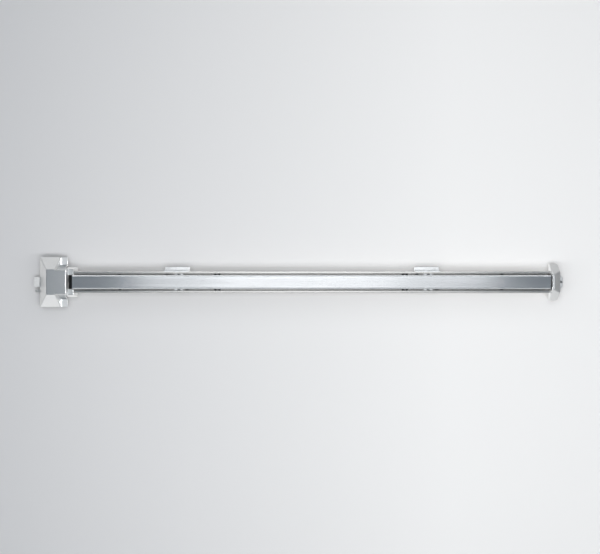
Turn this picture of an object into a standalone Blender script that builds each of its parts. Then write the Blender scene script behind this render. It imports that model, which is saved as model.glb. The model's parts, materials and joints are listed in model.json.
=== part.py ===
"""Surface-mounted panic exit bar: latch case, channel rail, push bar, end cap and the linkage inside.

The frame: +X runs along the bar away from the latch, +Z is up and the door's face is the plane Y = 0,
so the device stands out of the door towards -Y. The origin is the middle of the chassis plate's back.
All lengths are metres.
"""

import math

import bmesh
import bpy
from mathutils import Matrix, Vector

# ---- driving dimensions -------------------------------------------------------------------------

GAP = 0.0003  # between pieces that touch
ROUND = 16  # facets of a pin, bush or hole
SCREW_ROUND = 12  # facets of a screw or rivet
PLATE = 0.0025  # thickness of the plates that lie on the door

# Latch case
CASE_LEFT, CASE_RIGHT = -0.0255, 0.0176
CASE_HALF_HEIGHT = 0.0486
CASE_WALL_HEIGHT = 0.0160  # upright part of the walls, before they slope
CASE_FRONT = 0.0560  # distance of the front face from the door
FACE_LEFT, FACE_RIGHT, FACE_HALF_HEIGHT = -0.0076, 0.0092, 0.0243
CASE_SKIN = 0.0022
FLANGE_RIGHT, FLANGE_HEIGHT = 0.0265, 0.0050
NECK_LEFT, NECK_RIGHT_AT_FRONT, NECK_RIGHT_AT_STEP = 0.0050, 0.0297, 0.0318
NECK_STEP = 0.0335  # underside of the part of the neck that hangs over the collar
NECK_HALF_AT_FRONT, NECK_DRAFT = 0.0225, 0.23

# Screws that hold the cover on the chassis's tabs, and the chassis on the door
COVER_SCREW_X, COVER_SCREW_DEPTH, COVER_RECESS = -0.0040, 0.0080, 0.0014
TAB_HALF_WIDTH, TAB_INNER, TAB_OUTER, TAB_HEIGHT = 0.0060, 0.0434, 0.0454, 0.0130
CHASSIS_SCREW_XS, CHASSIS_SCREW_Z = (-0.0140, 0.0070), 0.0370
CHASSIS_TONGUE_HALF = 0.0290

# Collar between the case and the rail
COLLAR_LEFT, COLLAR_RIGHT = 0.0268, 0.0470
COLLAR_FRONT, COLLAR_FRONT_RIGHT = 0.0320, 0.0415
COLLAR_HALF, COLLAR_FRONT_HALF = 0.0290, 0.0255
COLLAR_SKIN = 0.0020
SLOT_HALF, SLOT_LEFT = 0.0141, 0.0290

# Rail: a channel with lips turned in at the front
RAIL_START, RAIL_END = 0.0340, 0.9840
RAIL_BACK = PLATE + GAP
RAIL_FRONT, RAIL_HALF, RAIL_WALL = 0.0280, 0.0212, 0.0018
LIP_INNER = 0.0166
RAIL_FLOOR = RAIL_BACK + RAIL_WALL  # inner face of the rail's back wall

# Push bar: a channel open towards the door, with rolled front corners
BAR_START, BAR_END = 0.0421, 0.9695
BAR_FRONT, BAR_REAR, BAR_HALF, BAR_WALL = 0.0530, 0.0280, 0.0135, 0.0015
ROLL_WIDTH, ROLL_DEPTH = 0.0046, 0.0040
PLUG_FLANGE, PLUG_LENGTH = 0.0014, 0.0110

# Linkage: bell cranks turn about Z, one arm driven by the bar, the other one driving the rod
BAR_TRAVEL = 0.0140
ARM_BAR, ARM_ROD = 0.0200, 0.0215
HALF_SWING = math.asin(BAR_TRAVEL / 2 / ARM_BAR)
PIVOT_DEPTH = 0.0308
PIVOTS = {"left": 0.2427, "right": 0.7324}
CRANK_HALF, HUB_RADIUS, HUB_HALF = 0.0020, 0.0052, 0.0081
NOSE_RADIUS, NOSE_ROOM = 0.0040, 0.0043  # the round nose, and half its window in the rod
BUSH_RADIUS, PIN_RADIUS = 0.0038, 0.0026
LINK_PIN_RADIUS, LINK_PIN_HALF = 0.0025, 0.0076
ROD_NEAR, ROD_FAR = 0.0092, 0.0122  # faces of the flat rod, measured from the door
ROD_HALF, ROD_NECK_END = 0.0080, 0.0600
CHEEK_INNER, CHEEK_OUTER = 0.0086, 0.0102

FOOT_RIVET_DX, FOOT_RIVET_Z = 0.0030, 0.0152

# Return springs lie in windows of the rod, each against a fixed post
SPRING_LENGTH, SPRING_RADIUS, SPRING_WIRE = 0.0440, 0.0037, 0.00045
WINDOW_HALF, POST_WIDTH, GUIDE_WIDTH = 0.0048, 0.0050, 0.0120
WINDOW_STARTS = {"left": 0.2707, "right": 0.6390}
GUIDE_FOOT_SCREW_DX, GUIDE_FOOT_SCREW_Z = 0.0060, 0.0140

# Latch
LATCH_TIP, LATCH_SHOULDER, LATCH_REAR = -0.0393, -0.0270, 0.0060
LATCH_NEAR, LATCH_FAR = 0.0044, 0.0148
LATCH_LOW, LATCH_HIGH = -0.0097, 0.0099
LATCH_RUN = 0.0004  # clearance round the latch in its guide
TONGUE_END, TONGUE_NEAR, TONGUE_FAR = 0.0330, 0.0059, 0.0089
LINK_Z, ROD_PIN_X = 0.0045, 0.0266
SPRING_Z, SPRING_BORE, BORE_END = -0.0051, 0.0034, -0.0140
STOP_LEFT, STOP_RIGHT = 0.0222, 0.0242

# Guarding bolt below the latch
AUX_TIP, AUX_REAR = -0.0358, -0.0160
AUX_LOW, AUX_HIGH, AUX_NEAR, AUX_FAR = -0.0206, -0.0148, 0.0058, 0.0132
GUIDE_LEFT, GUIDE_RIGHT, GUIDE_FAR = -0.0215, 0.0065, 0.0174
GUIDE_LOW, GUIDE_HIGH = -0.0300, 0.0190
AUX_TUNNEL_END = 0.0030
GUIDE_SCREW_X, GUIDE_SCREW_ZS = -0.0080, (-0.0256, 0.0146)

# End cap and its bracket
CAP_LEFT, CAP_RIGHT, CAP_HALF = 0.9725, 0.9900, 0.0354
CAP_FRONT, CAP_SKIN = 0.0570, 0.0020
LOBE_OUTER, LOBE_FRONT, LOBE_NEAR = 0.9960, 0.0300, PLATE + GAP
CAP_SCREW_X, CAP_SCREW_HOLE, CAP_SCREW_RECESS = 0.9929, 0.0015, 0.0024
# (depth, right edge, half height) of the cap's outline from the door to its front
CAP_STEPS = (
    (GAP, CAP_RIGHT, CAP_HALF),
    (0.0080, CAP_RIGHT, CAP_HALF),
    (0.0406, CAP_RIGHT - 0.0002, 0.0216),
    (0.0500, 0.9817, 0.0176),
    (CAP_FRONT, 0.9775, 0.0154),
)

# Brackets that hold the rail on the door
BRACKET_HALF_WIDTH, BRACKET_LOW, BRACKET_TOP = 0.0245, -0.0170, 0.0297
HOOK_GAP, HOOK_SHEET, HOOK_LIP = 0.0004, 0.0020, 0.0022
BRACKET_DOOR_HOLE = 0.0185  # distance of each door screw from the bracket's middle
# Two screws a bracket, on a diagonal: (offset along X, z)
RAIL_SCREWS = {"upper": (-0.0195, 0.0140), "lower": (0.0195, -0.0140)}

BUMPER_XS = {"left": 0.1300, "right": 0.8800}
BUMPER_Z, BUMPER_RADIUS = 0.01275, 0.0030

# ---- scene and materials ------------------------------------------------------------------------

for old in list(bpy.data.objects):
    bpy.data.objects.remove(old, do_unlink=True)
scene = bpy.context.scene
parts = bpy.data.collections.new("panic_exit_bar")
helpers = bpy.data.collections.new("cutters")
scene.collection.children.link(parts)
scene.collection.children.link(helpers)

FINISHES = {
    # name: (colour, metallic, roughness)
    "cast_silver": ((0.62, 0.63, 0.63), 0.9, 0.42),
    "bar_stainless": ((0.70, 0.71, 0.72), 1.0, 0.22),
    "rail_aluminium": ((0.66, 0.65, 0.63), 1.0, 0.38),
    "zinc_plate": ((0.74, 0.75, 0.76), 1.0, 0.35),
    "latch_steel": ((0.72, 0.72, 0.72), 1.0, 0.30),
    "spring_steel": ((0.45, 0.46, 0.48), 1.0, 0.30),
    "pin_steel": ((0.60, 0.61, 0.63), 1.0, 0.25),
    "screw_steel": ((0.55, 0.55, 0.56), 1.0, 0.35),
    "bush_brass": ((0.72, 0.52, 0.22), 1.0, 0.30),
    "nylon": ((0.10, 0.10, 0.11), 0.0, 0.50),
    "rubber": ((0.03, 0.03, 0.03), 0.0, 0.80),
}


def finish_material(name):
    """The material of one finish, made the first time it is asked for."""
    if name in bpy.data.materials:
        return bpy.data.materials[name]
    colour, metallic, roughness = FINISHES[name]
    material = bpy.data.materials.new(name)
    material.use_nodes = True
    shader = material.node_tree.nodes["Principled BSDF"]
    shader.inputs["Base Color"].default_value = (*colour, 1.0)
    shader.inputs["Metallic"].default_value = metallic
    shader.inputs["Roughness"].default_value = roughness
    return material


# ---- shape makers -------------------------------------------------------------------------------


def placed(name, mesh, matrix):
    item = bpy.data.objects.new(name, mesh)
    item.matrix_world = matrix
    parts.objects.link(item)
    return item


def from_bmesh(name, shape, matrix):
    mesh = bpy.data.meshes.new(name)
    shape.to_mesh(mesh)
    shape.free()
    return placed(name, mesh, matrix)


def box(name, x, y, z):
    """A block between (low, high) pairs. Depths y are distances from the door, so they run towards -Y."""
    shape = bmesh.new()
    bmesh.ops.create_cube(shape, size=1.0)
    size = Vector((x[1] - x[0], y[1] - y[0], z[1] - z[0]))
    bmesh.ops.scale(shape, vec=size, verts=shape.verts)
    middle = Vector((sum(x) / 2, -sum(y) / 2, sum(z) / 2))
    return from_bmesh(name, shape, Matrix.Translation(middle))


AXIS_TURNS = {
    "X": Matrix.Rotation(math.radians(90), 4, "Y"),
    "Y": Matrix.Rotation(math.radians(-90), 4, "X"),
    "-Y": Matrix.Rotation(math.radians(90), 4, "X"),
    "Z": Matrix.Identity(4),
    "-Z": Matrix.Rotation(math.radians(180), 4, "X"),
}


def cylinder(name, radius, axis, middle, length, segments=ROUND):
    shape = bmesh.new()
    bmesh.ops.create_cone(
        shape, cap_ends=True, segments=segments, radius1=radius, radius2=radius, depth=length
    )
    return from_bmesh(name, shape, Matrix.Translation(middle) @ AXIS_TURNS[axis])


def turned(name, profile, axis, at, segments=SCREW_ROUND):
    """A round piece from (radius, height) points, listed from its top down its outer side."""
    shape = bmesh.new()
    points = [shape.verts.new((radius, 0.0, height)) for radius, height in profile]
    for upper, lower in zip(points, points[1:]):
        shape.edges.new((upper, lower))
    item = from_bmesh(name, shape, Matrix.Translation(at) @ AXIS_TURNS[axis])
    screw = item.modifiers.new("turn", "SCREW")
    screw.axis = "Z"
    screw.steps = screw.render_steps = segments
    screw.use_merge_vertices = True
    screw.merge_threshold = 0.00001
    return item


def welded_mesh(item):
    """Turns a curve object into a mesh object with its caps welded on."""
    graph = bpy.context.evaluated_depsgraph_get()
    mesh = bpy.data.meshes.new_from_object(item.evaluated_get(graph))
    shape = bmesh.new()
    shape.from_mesh(mesh)
    bmesh.ops.remove_doubles(shape, verts=shape.verts, dist=0.000002)
    bmesh.ops.recalc_face_normals(shape, faces=shape.faces)
    shape.to_mesh(mesh)
    shape.free()
    name, matrix = item.name, item.matrix_world.copy()
    bpy.data.objects.remove(item, do_unlink=True)
    mesh.materials.clear()
    return placed(name, mesh, matrix)


# Each plane's first two columns carry the outline, the third one its thickness.
OUTLINE_PLANES = {
    "X": Matrix(((0, 0, 1, 0), (-1, 0, 0, 0), (0, -1, 0, 0), (0, 0, 0, 1))),
    "Y": Matrix(((1, 0, 0, 0), (0, 0, -1, 0), (0, 1, 0, 0), (0, 0, 0, 1))),
    "Z": Matrix(((1, 0, 0, 0), (0, -1, 0, 0), (0, 0, -1, 0), (0, 0, 0, 1))),
}
THICKNESS_WAY = {"X": Vector((1, 0, 0)), "Y": Vector((0, -1, 0)), "Z": Vector((0, 0, 1))}


def extruded(name, outline, axis, span, holes=()):
    """A flat outline given thickness along an axis.

    Outlines are (depth, -z) pairs across X, (x, z) pairs across Y and (x, depth) pairs across Z.
    """
    curve = bpy.data.curves.new(name, "CURVE")
    curve.dimensions = "2D"
    curve.fill_mode = "BOTH"
    curve.extrude = (span[1] - span[0]) / 2
    for loop in (outline, *holes):
        spline = curve.splines.new("POLY")
        spline.points.add(len(loop) - 1)
        for point, (u, v) in zip(spline.points, loop):
            point.co = (u, v, 0.0, 1.0)
        spline.use_cyclic_u = True
    item = bpy.data.objects.new(name, curve)
    parts.objects.link(item)
    middle = THICKNESS_WAY[axis] * (sum(span) / 2)
    item.matrix_world = Matrix.Translation(middle) @ OUTLINE_PLANES[axis]
    bpy.context.view_layer.update()
    return welded_mesh(item)


def circle(u, v, radius, segments=ROUND):
    steps = [2 * math.pi * i / segments for i in range(segments)]
    return [(u + radius * math.cos(a), v + radius * math.sin(a)) for a in steps]


def arm_outline(start, end, radius, steps=8):
    """A bar with round ends between two points."""
    heading = math.atan2(end[1] - start[1], end[0] - start[0])
    outline = []
    for (u, v), first in ((end, heading - math.pi / 2), (start, heading + math.pi / 2)):
        for i in range(steps + 1):
            angle = first + math.pi * i / steps
            outline.append((u + radius * math.cos(angle), v + radius * math.sin(angle)))
    return outline


def rectangle_ring(depth, x, half, radii, steps=3):
    """A ring across Y: a rectangle whose left and right corners have their own radii."""
    left, right = radii
    corners = [
        (x[1] - right, half - right, right, 0.0),
        (x[0] + left, half - left, left, 90.0),
        (x[0] + left, left - half, left, 180.0),
        (x[1] - right, right - half, right, 270.0),
    ]
    ring = []
    for u, v, radius, first in corners:
        for i in range(steps + 1):
            angle = math.radians(first + 90.0 * i / steps)
            ring.append((u + radius * math.cos(angle), -depth, v + radius * math.sin(angle)))
    return ring


def lofted(name, rings):
    """A closed skin through rings of equal length, flat at both ends."""
    shape = bmesh.new()
    loops = [[shape.verts.new(point) for point in ring] for ring in rings]
    for back, front in zip(loops, loops[1:]):
        for i, corner in enumerate(back):
            j = (i + 1) % len(back)
            shape.faces.new((corner, back[j], front[j], front[i]))
    shape.faces.new(loops[0])
    shape.faces.new(loops[-1])
    bmesh.ops.recalc_face_normals(shape, faces=shape.faces)
    return from_bmesh(name, shape, Matrix.Identity(4))


def coil(name, radius, wire, start, length, turns, points_per_turn=8):
    """A compression spring along +X from its start point."""
    curve = bpy.data.curves.new(name, "CURVE")
    curve.dimensions = "3D"
    curve.bevel_depth = wire
    curve.bevel_resolution = 2
    curve.use_fill_caps = True
    count = turns * points_per_turn + 1
    spline = curve.splines.new("POLY")
    spline.points.add(count - 1)
    for i, point in enumerate(spline.points):
        angle = 2 * math.pi * i / points_per_turn
        along = wire + (length - 2 * wire) * i / (count - 1)
        y, z = radius * math.cos(angle), radius * math.sin(angle)
        point.co = (start[0] + along, start[1] + y, start[2] + z, 1.0)
    item = bpy.data.objects.new(name, curve)
    parts.objects.link(item)
    return item


def boolean(target, tool, operation):
    """Cuts or joins a tool, which then leaves the parts for the cutters' collection."""
    modifier = target.modifiers.new(tool.name, "BOOLEAN")
    modifier.operation = operation
    modifier.object = tool
    modifier.solver = "EXACT"
    parts.objects.unlink(tool)
    helpers.objects.link(tool)
    tool.hide_render = True
    tool.display_type = "WIRE"


def cut(target, *tools):
    for tool in tools:
        boolean(target, tool, "DIFFERENCE")


def drills(name, places, axis, length):
    """One cutter of several round drills, from (middle, radius) pairs."""
    shape = bmesh.new()
    for middle, radius in places:
        matrix = Matrix.Translation(middle) @ AXIS_TURNS[axis]
        size = {"radius1": radius, "radius2": radius, "depth": length}
        bmesh.ops.create_cone(shape, cap_ends=True, segments=ROUND, matrix=matrix, **size)
    return from_bmesh(name, shape, Matrix.Identity(4))


def join(target, *tools):
    for tool in tools:
        boolean(target, tool, "UNION")


def finished(item, finish, carrier=None, smooth=False):
    """Gives a piece its material, and its joint's empty as parent if it moves."""
    item.data.materials.clear()
    item.data.materials.append(finish_material(finish))
    if smooth and item.type == "MESH":
        item.data.shade_smooth()
        item.data.set_sharp_from_angle(angle=math.radians(35))
    if carrier:
        item.parent = carrier
        item.matrix_parent_inverse = Matrix.Translation(carrier.location).inverted()
    return item


def joint_empty(name, location):
    item = bpy.data.objects.new(name, None)
    item.empty_display_size = 0.02
    item.location = location
    parts.objects.link(item)
    return item


def screw_profile(head_radius, head_height, shank_radius, length):
    """A round-headed screw: its top, its edge, then the shank below the head at height 0."""
    return [
        (0.0, head_height),
        (head_radius * 0.7, head_height * 0.9),
        (head_radius, head_height * 0.35),
        (head_radius, 0.0),
        (shank_radius, 0.0),
        (shank_radius, -length),
        (0.0, -length),
    ]


# ---- case ---------------------------------------------------------------------------------------


def case_rings(inset, back):
    """Rings of the case: upright walls, then slopes to the front face, moved in by the skin."""
    slope_x = inset * 1.12  # the slopes lean, so their level offset is a little more than the skin
    slope_z = inset * 1.24
    radii = (0.0020, 0.0012) if inset == 0 else (0.0006, 0.0006)
    front = CASE_FRONT - inset
    run = (front - CASE_WALL_HEIGHT) / (CASE_FRONT - CASE_WALL_HEIGHT)
    front_left = CASE_LEFT + (FACE_LEFT - CASE_LEFT) * run + slope_x
    front_half = CASE_HALF_HEIGHT + (FACE_HALF_HEIGHT - CASE_HALF_HEIGHT) * run - slope_z
    lean = (CASE_RIGHT - FACE_RIGHT) / CASE_FRONT
    return [
        rectangle_ring(back, (CASE_LEFT + inset, CASE_RIGHT - inset), CASE_HALF_HEIGHT - inset, radii),
        rectangle_ring(
            CASE_WALL_HEIGHT,
            (CASE_LEFT + slope_x, CASE_RIGHT - lean * CASE_WALL_HEIGHT - inset),
            CASE_HALF_HEIGHT - slope_z,
            radii,
        ),
        rectangle_ring(
            front, (front_left, CASE_RIGHT - lean * front - inset), front_half, radii
        ),
    ]


def neck_half(depth):
    return NECK_HALF_AT_FRONT + (CASE_FRONT - depth) * NECK_DRAFT


def neck_block(name, depths, left, rights, inset=0.0):
    """A block of the neck between two depths, with the right edge that it has at each of them."""
    rings = [
        rectangle_ring(depth, (left, right), neck_half(depth) - inset, (0.0004, 0.0010))
        for depth, right in zip(depths, rights)
    ]
    return lofted(name, rings)


def mechanism_cover():
    cover = lofted("mechanism_cover", case_rings(0.0, GAP))
    flange = box(
        "cover_flange",
        (CASE_RIGHT - 0.004, FLANGE_RIGHT),
        (GAP, FLANGE_HEIGHT),
        (-CASE_HALF_HEIGHT, CASE_HALF_HEIGHT),
    )
    low_right = FLANGE_RIGHT - 0.0001
    low_neck = neck_block(
        "cover_neck", (GAP, NECK_STEP + 0.0005), NECK_LEFT, (low_right, low_right), inset=0.0001
    )
    high_neck = neck_block(
        "cover_bridge",
        (NECK_STEP, CASE_FRONT + 0.0001),
        NECK_LEFT,
        (NECK_RIGHT_AT_STEP, NECK_RIGHT_AT_FRONT),
    )
    join(cover, flange, low_neck, high_neck)
    skin = CASE_SKIN
    hollow = lofted("cover_hollow", case_rings(skin, -0.0010))
    hollow_left, open_right = NECK_LEFT - 0.003, FLANGE_RIGHT + 0.001
    low_hollow = neck_block(
        "cover_neck_hollow", (-0.0010, NECK_STEP + 0.0010), hollow_left, (open_right, open_right), skin
    )
    high_hollow = neck_block(
        "cover_bridge_hollow",
        (NECK_STEP - 0.0007, CASE_FRONT - skin - 0.0002),
        hollow_left,
        (NECK_RIGHT_AT_STEP - skin, NECK_RIGHT_AT_FRONT - skin),
        skin + 0.0002,
    )
    latch_window = box(
        "cover_latch_window",
        (CASE_LEFT - 0.002, CASE_LEFT + 0.005),
        (LATCH_NEAR - LATCH_RUN, LATCH_FAR + LATCH_RUN),
        (LATCH_LOW - LATCH_RUN, LATCH_HIGH + LATCH_RUN),
    )
    aux_window = box(
        "cover_aux_window",
        (CASE_LEFT - 0.002, CASE_LEFT + 0.005),
        (AUX_NEAR - LATCH_RUN, AUX_FAR + LATCH_RUN),
        (AUX_LOW - LATCH_RUN, AUX_HIGH + LATCH_RUN),
    )
    cut(cover, hollow, low_hollow, high_hollow, latch_window, aux_window)
    for way in (-1, 1):
        place = (COVER_SCREW_X, -COVER_SCREW_DEPTH, way * CASE_HALF_HEIGHT)
        hole = cylinder(f"cover_screw_hole_{way}", 0.0017, "Z", place, 0.012)
        recess = cylinder(f"cover_screw_recess_{way}", 0.0030, "Z", place, 2 * COVER_RECESS)
        cut(cover, hole, recess)
    return finished(cover, "cast_silver")


def cover_screws():
    profile = screw_profile(0.0027, 0.0011, 0.0015, 0.0060)
    seat = CASE_HALF_HEIGHT - COVER_RECESS + 0.0001
    for end, way, axis in (("top", 1, "Z"), ("bottom", -1, "-Z")):
        place = (COVER_SCREW_X, -COVER_SCREW_DEPTH, way * seat)
        finished(turned(f"cover_screw_{end}", profile, axis, place), "screw_steel", smooth=True)


def chassis_plate():
    """The plate that fixes the case to the door, with a tab at each end for a cover screw."""
    left, right, tongue = CASE_LEFT + 0.0028, CASE_RIGHT - 0.0028, FLANGE_RIGHT - 0.0005
    half, tongue_half = TAB_OUTER, CHASSIS_TONGUE_HALF
    outline = [
        (left, -half),
        (right, -half),
        (right, -tongue_half),
        (tongue, -tongue_half),
        (tongue, tongue_half),
        (right, tongue_half),
        (right, half),
        (left, half),
    ]
    holes = [circle(x, z, 0.0026) for x in CHASSIS_SCREW_XS for z in (-CHASSIS_SCREW_Z, CHASSIS_SCREW_Z)]
    holes += [circle(GUIDE_SCREW_X, z, 0.00165) for z in GUIDE_SCREW_ZS]
    plate = extruded("chassis_plate", outline, "Y", (0.0, PLATE), holes)
    for way in (-1, 1):
        span = sorted((way * TAB_INNER, way * TAB_OUTER))
        x = (COVER_SCREW_X - TAB_HALF_WIDTH, COVER_SCREW_X + TAB_HALF_WIDTH)
        join(plate, box(f"chassis_tab_{way}", x, (PLATE / 2, TAB_HEIGHT), span))
        place = (COVER_SCREW_X, -COVER_SCREW_DEPTH, way * TAB_INNER)
        cut(plate, cylinder(f"chassis_tab_hole_{way}", 0.0017, "Z", place, 0.010))
    return finished(plate, "zinc_plate")


def latch_guide():
    """A casting on the chassis with a tunnel for the latch and one for the guarding bolt."""
    near = PLATE + GAP
    guide = box("latch_guide", (GUIDE_LEFT, GUIDE_RIGHT), (near, GUIDE_FAR), (GUIDE_LOW, GUIDE_HIGH))
    tunnel = box(
        "guide_latch_tunnel",
        (GUIDE_LEFT - 0.001, GUIDE_RIGHT + 0.001),
        (LATCH_NEAR - LATCH_RUN, LATCH_FAR + LATCH_RUN),
        (LATCH_LOW - LATCH_RUN, LATCH_HIGH + LATCH_RUN),
    )
    aux_tunnel = box(
        "guide_aux_tunnel",
        (GUIDE_LEFT - 0.001, AUX_TUNNEL_END),
        (AUX_NEAR - LATCH_RUN, AUX_FAR + LATCH_RUN),
        (AUX_LOW - LATCH_RUN, AUX_HIGH + LATCH_RUN),
    )
    cut(guide, tunnel, aux_tunnel)
    for number, z in enumerate(GUIDE_SCREW_ZS):
        place = (GUIDE_SCREW_X, -GUIDE_FAR / 2, z)
        cut(guide, cylinder(f"guide_screw_hole_{number}", 0.0017, "Y", place, 0.03))
    return finished(guide, "zinc_plate")


def guide_screws():
    profile = screw_profile(0.0028, 0.0018, 0.0015, GUIDE_FAR - 0.0006)
    for end, z in zip(("bottom", "top"), GUIDE_SCREW_ZS):
        place = (GUIDE_SCREW_X, -GUIDE_FAR - GAP, z)
        finished(turned(f"guide_screw_{end}", profile, "-Y", place), "screw_steel", smooth=True)


def spring_stop():
    """A tab on the chassis with a nose that centres the latch spring."""
    near = PLATE + GAP
    middle = (LATCH_NEAR + LATCH_FAR) / 2
    reach = (SPRING_Z - 0.004, SPRING_Z + 0.004)
    stop = box("spring_stop", (STOP_LEFT, STOP_RIGHT), (near, 0.0142), reach)
    foot = box("spring_stop_foot", (0.0135, STOP_RIGHT), (near, near + 0.0009), (-0.0180, -0.0050))
    nose = cylinder("spring_stop_nose", 0.0019, "X", (STOP_LEFT - 0.002, -middle, SPRING_Z), 0.006)
    join(stop, foot, nose)
    return finished(stop, "zinc_plate")


# ---- latch, guarding bolt and their springs -----------------------------------------------------


def latch_bolt(carrier):
    """A bolt with a sloped nose, a bore for its spring and a slotted tongue for the rod's pin."""
    side = [
        (LATCH_REAR, LATCH_NEAR),
        (LATCH_REAR, LATCH_FAR),
        (LATCH_SHOULDER, LATCH_FAR),
        (LATCH_TIP, LATCH_NEAR + 0.0030),
        (LATCH_TIP, LATCH_NEAR),
    ]
    latch = extruded("latch_bolt", side, "Z", (LATCH_LOW, LATCH_HIGH))
    tongue = box(
        "latch_tongue", (LATCH_REAR - 0.004, TONGUE_END), (TONGUE_NEAR, TONGUE_FAR), (0.0, 0.0090)
    )
    join(latch, tongue)
    middle = -(LATCH_NEAR + LATCH_FAR) / 2
    bore_length = LATCH_REAR - BORE_END + 0.004
    bore = cylinder(
        "latch_spring_bore", SPRING_BORE, "X", (BORE_END + bore_length / 2, middle, SPRING_Z), bore_length
    )
    slot_end = ROD_PIN_X
    slot_start = slot_end - 0.0150
    slot_outline = arm_outline((slot_start, LINK_Z), (slot_end, LINK_Z), 0.0028)
    slot = extruded("latch_tongue_slot", slot_outline, "Y", (TONGUE_NEAR - 0.001, TONGUE_FAR + 0.001))
    cut(latch, bore, slot)
    return finished(latch, "latch_steel", carrier)


def latch_spring():
    middle = -(LATCH_NEAR + LATCH_FAR) / 2
    start = (BORE_END + GAP, middle, SPRING_Z)
    length = STOP_LEFT - BORE_END - 2 * GAP
    return finished(coil("latch_spring", 0.0028, 0.00035, start, length, 9), "spring_steel")


def auxiliary_bolt(carrier):
    side = [
        (AUX_REAR, AUX_NEAR),
        (AUX_REAR, AUX_FAR),
        (AUX_TIP + 0.0050, AUX_FAR),
        (AUX_TIP, AUX_NEAR + 0.0030),
        (AUX_TIP, AUX_NEAR),
    ]
    bolt = extruded("auxiliary_bolt", side, "Z", (AUX_LOW, AUX_HIGH))
    return finished(bolt, "latch_steel", carrier)


def auxiliary_spring():
    start = (AUX_REAR + GAP, -(AUX_NEAR + AUX_FAR) / 2, (AUX_LOW + AUX_HIGH) / 2)
    length = AUX_TUNNEL_END - AUX_REAR - 2 * GAP
    return finished(coil("auxiliary_spring", 0.0022, 0.0003, start, length, 6), "spring_steel")


# ---- collar, rail and brackets ------------------------------------------------------------------


def rail_collar():
    """The casting that closes the joint between the case and the rail; the bar sinks into its slot."""
    radii = (0.0004, 0.0025)
    outer = [
        rectangle_ring(GAP, (COLLAR_LEFT, COLLAR_RIGHT), COLLAR_HALF, radii),
        rectangle_ring(COLLAR_FRONT, (COLLAR_LEFT, COLLAR_FRONT_RIGHT), COLLAR_FRONT_HALF, radii),
    ]
    skin = COLLAR_SKIN
    inner = [
        rectangle_ring(
            -0.001, (COLLAR_LEFT - 0.002, COLLAR_RIGHT - skin), COLLAR_HALF - skin, (0.0004, 0.001)
        ),
        rectangle_ring(
            COLLAR_FRONT - skin,
            (COLLAR_LEFT - 0.002, COLLAR_FRONT_RIGHT - skin),
            COLLAR_FRONT_HALF - skin,
            (0.0004, 0.001),
        ),
    ]
    collar = lofted("rail_collar", outer)
    hollow = lofted("collar_hollow", inner)
    slot = box("collar_slot", (SLOT_LEFT, 0.060), (0.010, COLLAR_FRONT + 0.001), (-SLOT_HALF, SLOT_HALF))
    reach = RAIL_HALF + 0.0004
    opening = box("collar_rail_opening", (0.0380, 0.060), (-0.001, RAIL_FRONT + 0.0004), (-reach, reach))
    cut(collar, hollow, slot, opening)
    return finished(collar, "cast_silver")


def rail_holes():
    """(x, z, radius) of every hole in the rail's back wall."""
    holes = []
    for x in PIVOTS.values():
        holes += [(x + dx, z, 0.0022) for dx, z in RAIL_SCREWS.values()]
        holes += [(x + FOOT_RIVET_DX, z, 0.0019) for z in (-FOOT_RIVET_Z, FOOT_RIVET_Z)]
    for start in WINDOW_STARTS.values():
        x = post_start(start) + GUIDE_FOOT_SCREW_DX
        holes += [(x, z, 0.0017) for z in (-GUIDE_FOOT_SCREW_Z, GUIDE_FOOT_SCREW_Z)]
    return holes


def base_rail():
    back, front, half, wall = RAIL_BACK, RAIL_FRONT, RAIL_HALF, RAIL_WALL
    outline = [
        (back, -half),
        (front, -half),
        (front, -LIP_INNER),
        (front - wall, -LIP_INNER),
        (front - wall, wall - half),
        (back + wall, wall - half),
        (back + wall, half - wall),
        (front - wall, half - wall),
        (front - wall, LIP_INNER),
        (front, LIP_INNER),
        (front, half),
        (back, half),
    ]
    rail = extruded("base_rail", outline, "X", (RAIL_START, RAIL_END))
    places = [((x, -back - wall / 2, z), radius) for x, z, radius in rail_holes()]
    cut(rail, drills("rail_drills", places, "Y", 3 * wall))
    return finished(rail, "rail_aluminium")


def rail_bracket(side, x):
    """A door plate with a hook that folds over the rail's top lip."""
    plate_outline = [
        (x - BRACKET_HALF_WIDTH, BRACKET_LOW),
        (x + BRACKET_HALF_WIDTH, BRACKET_LOW),
        (x + BRACKET_HALF_WIDTH, BRACKET_TOP),
        (x - BRACKET_HALF_WIDTH, BRACKET_TOP),
    ]
    holes = [circle(x + dx, 0.0, 0.0026) for dx in (-BRACKET_DOOR_HOLE, BRACKET_DOOR_HOLE)]
    holes += [circle(x + dx, z, 0.0022) for dx, z in RAIL_SCREWS.values()]
    bracket = extruded(f"rail_bracket_{side}", plate_outline, "Y", (0.0, PLATE), holes)
    leg = RAIL_HALF + HOOK_GAP
    front = RAIL_FRONT + HOOK_GAP
    hook = [
        (PLATE / 2, -leg),
        (front, -leg),
        (front, -leg + HOOK_LIP),
        (front + HOOK_SHEET, -leg + HOOK_LIP),
        (front + HOOK_SHEET, -leg - HOOK_SHEET),
        (PLATE / 2, -leg - HOOK_SHEET),
    ]
    span = (x - BRACKET_HALF_WIDTH + 0.0001, x + BRACKET_HALF_WIDTH - 0.0001)
    join(bracket, extruded(f"rail_bracket_hook_{side}", hook, "X", span))
    return finished(bracket, "zinc_plate")


def rail_screws(side, x):
    """The screws that hold the rail on one bracket."""
    profile = screw_profile(0.0036, 0.0020, 0.0020, RAIL_FLOOR - 0.0004)
    for place, (dx, z) in RAIL_SCREWS.items():
        screw = turned(f"rail_screw_{side}_{place}", profile, "-Y", (x + dx, -RAIL_FLOOR - GAP, z))
        finished(screw, "screw_steel", smooth=True)


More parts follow.
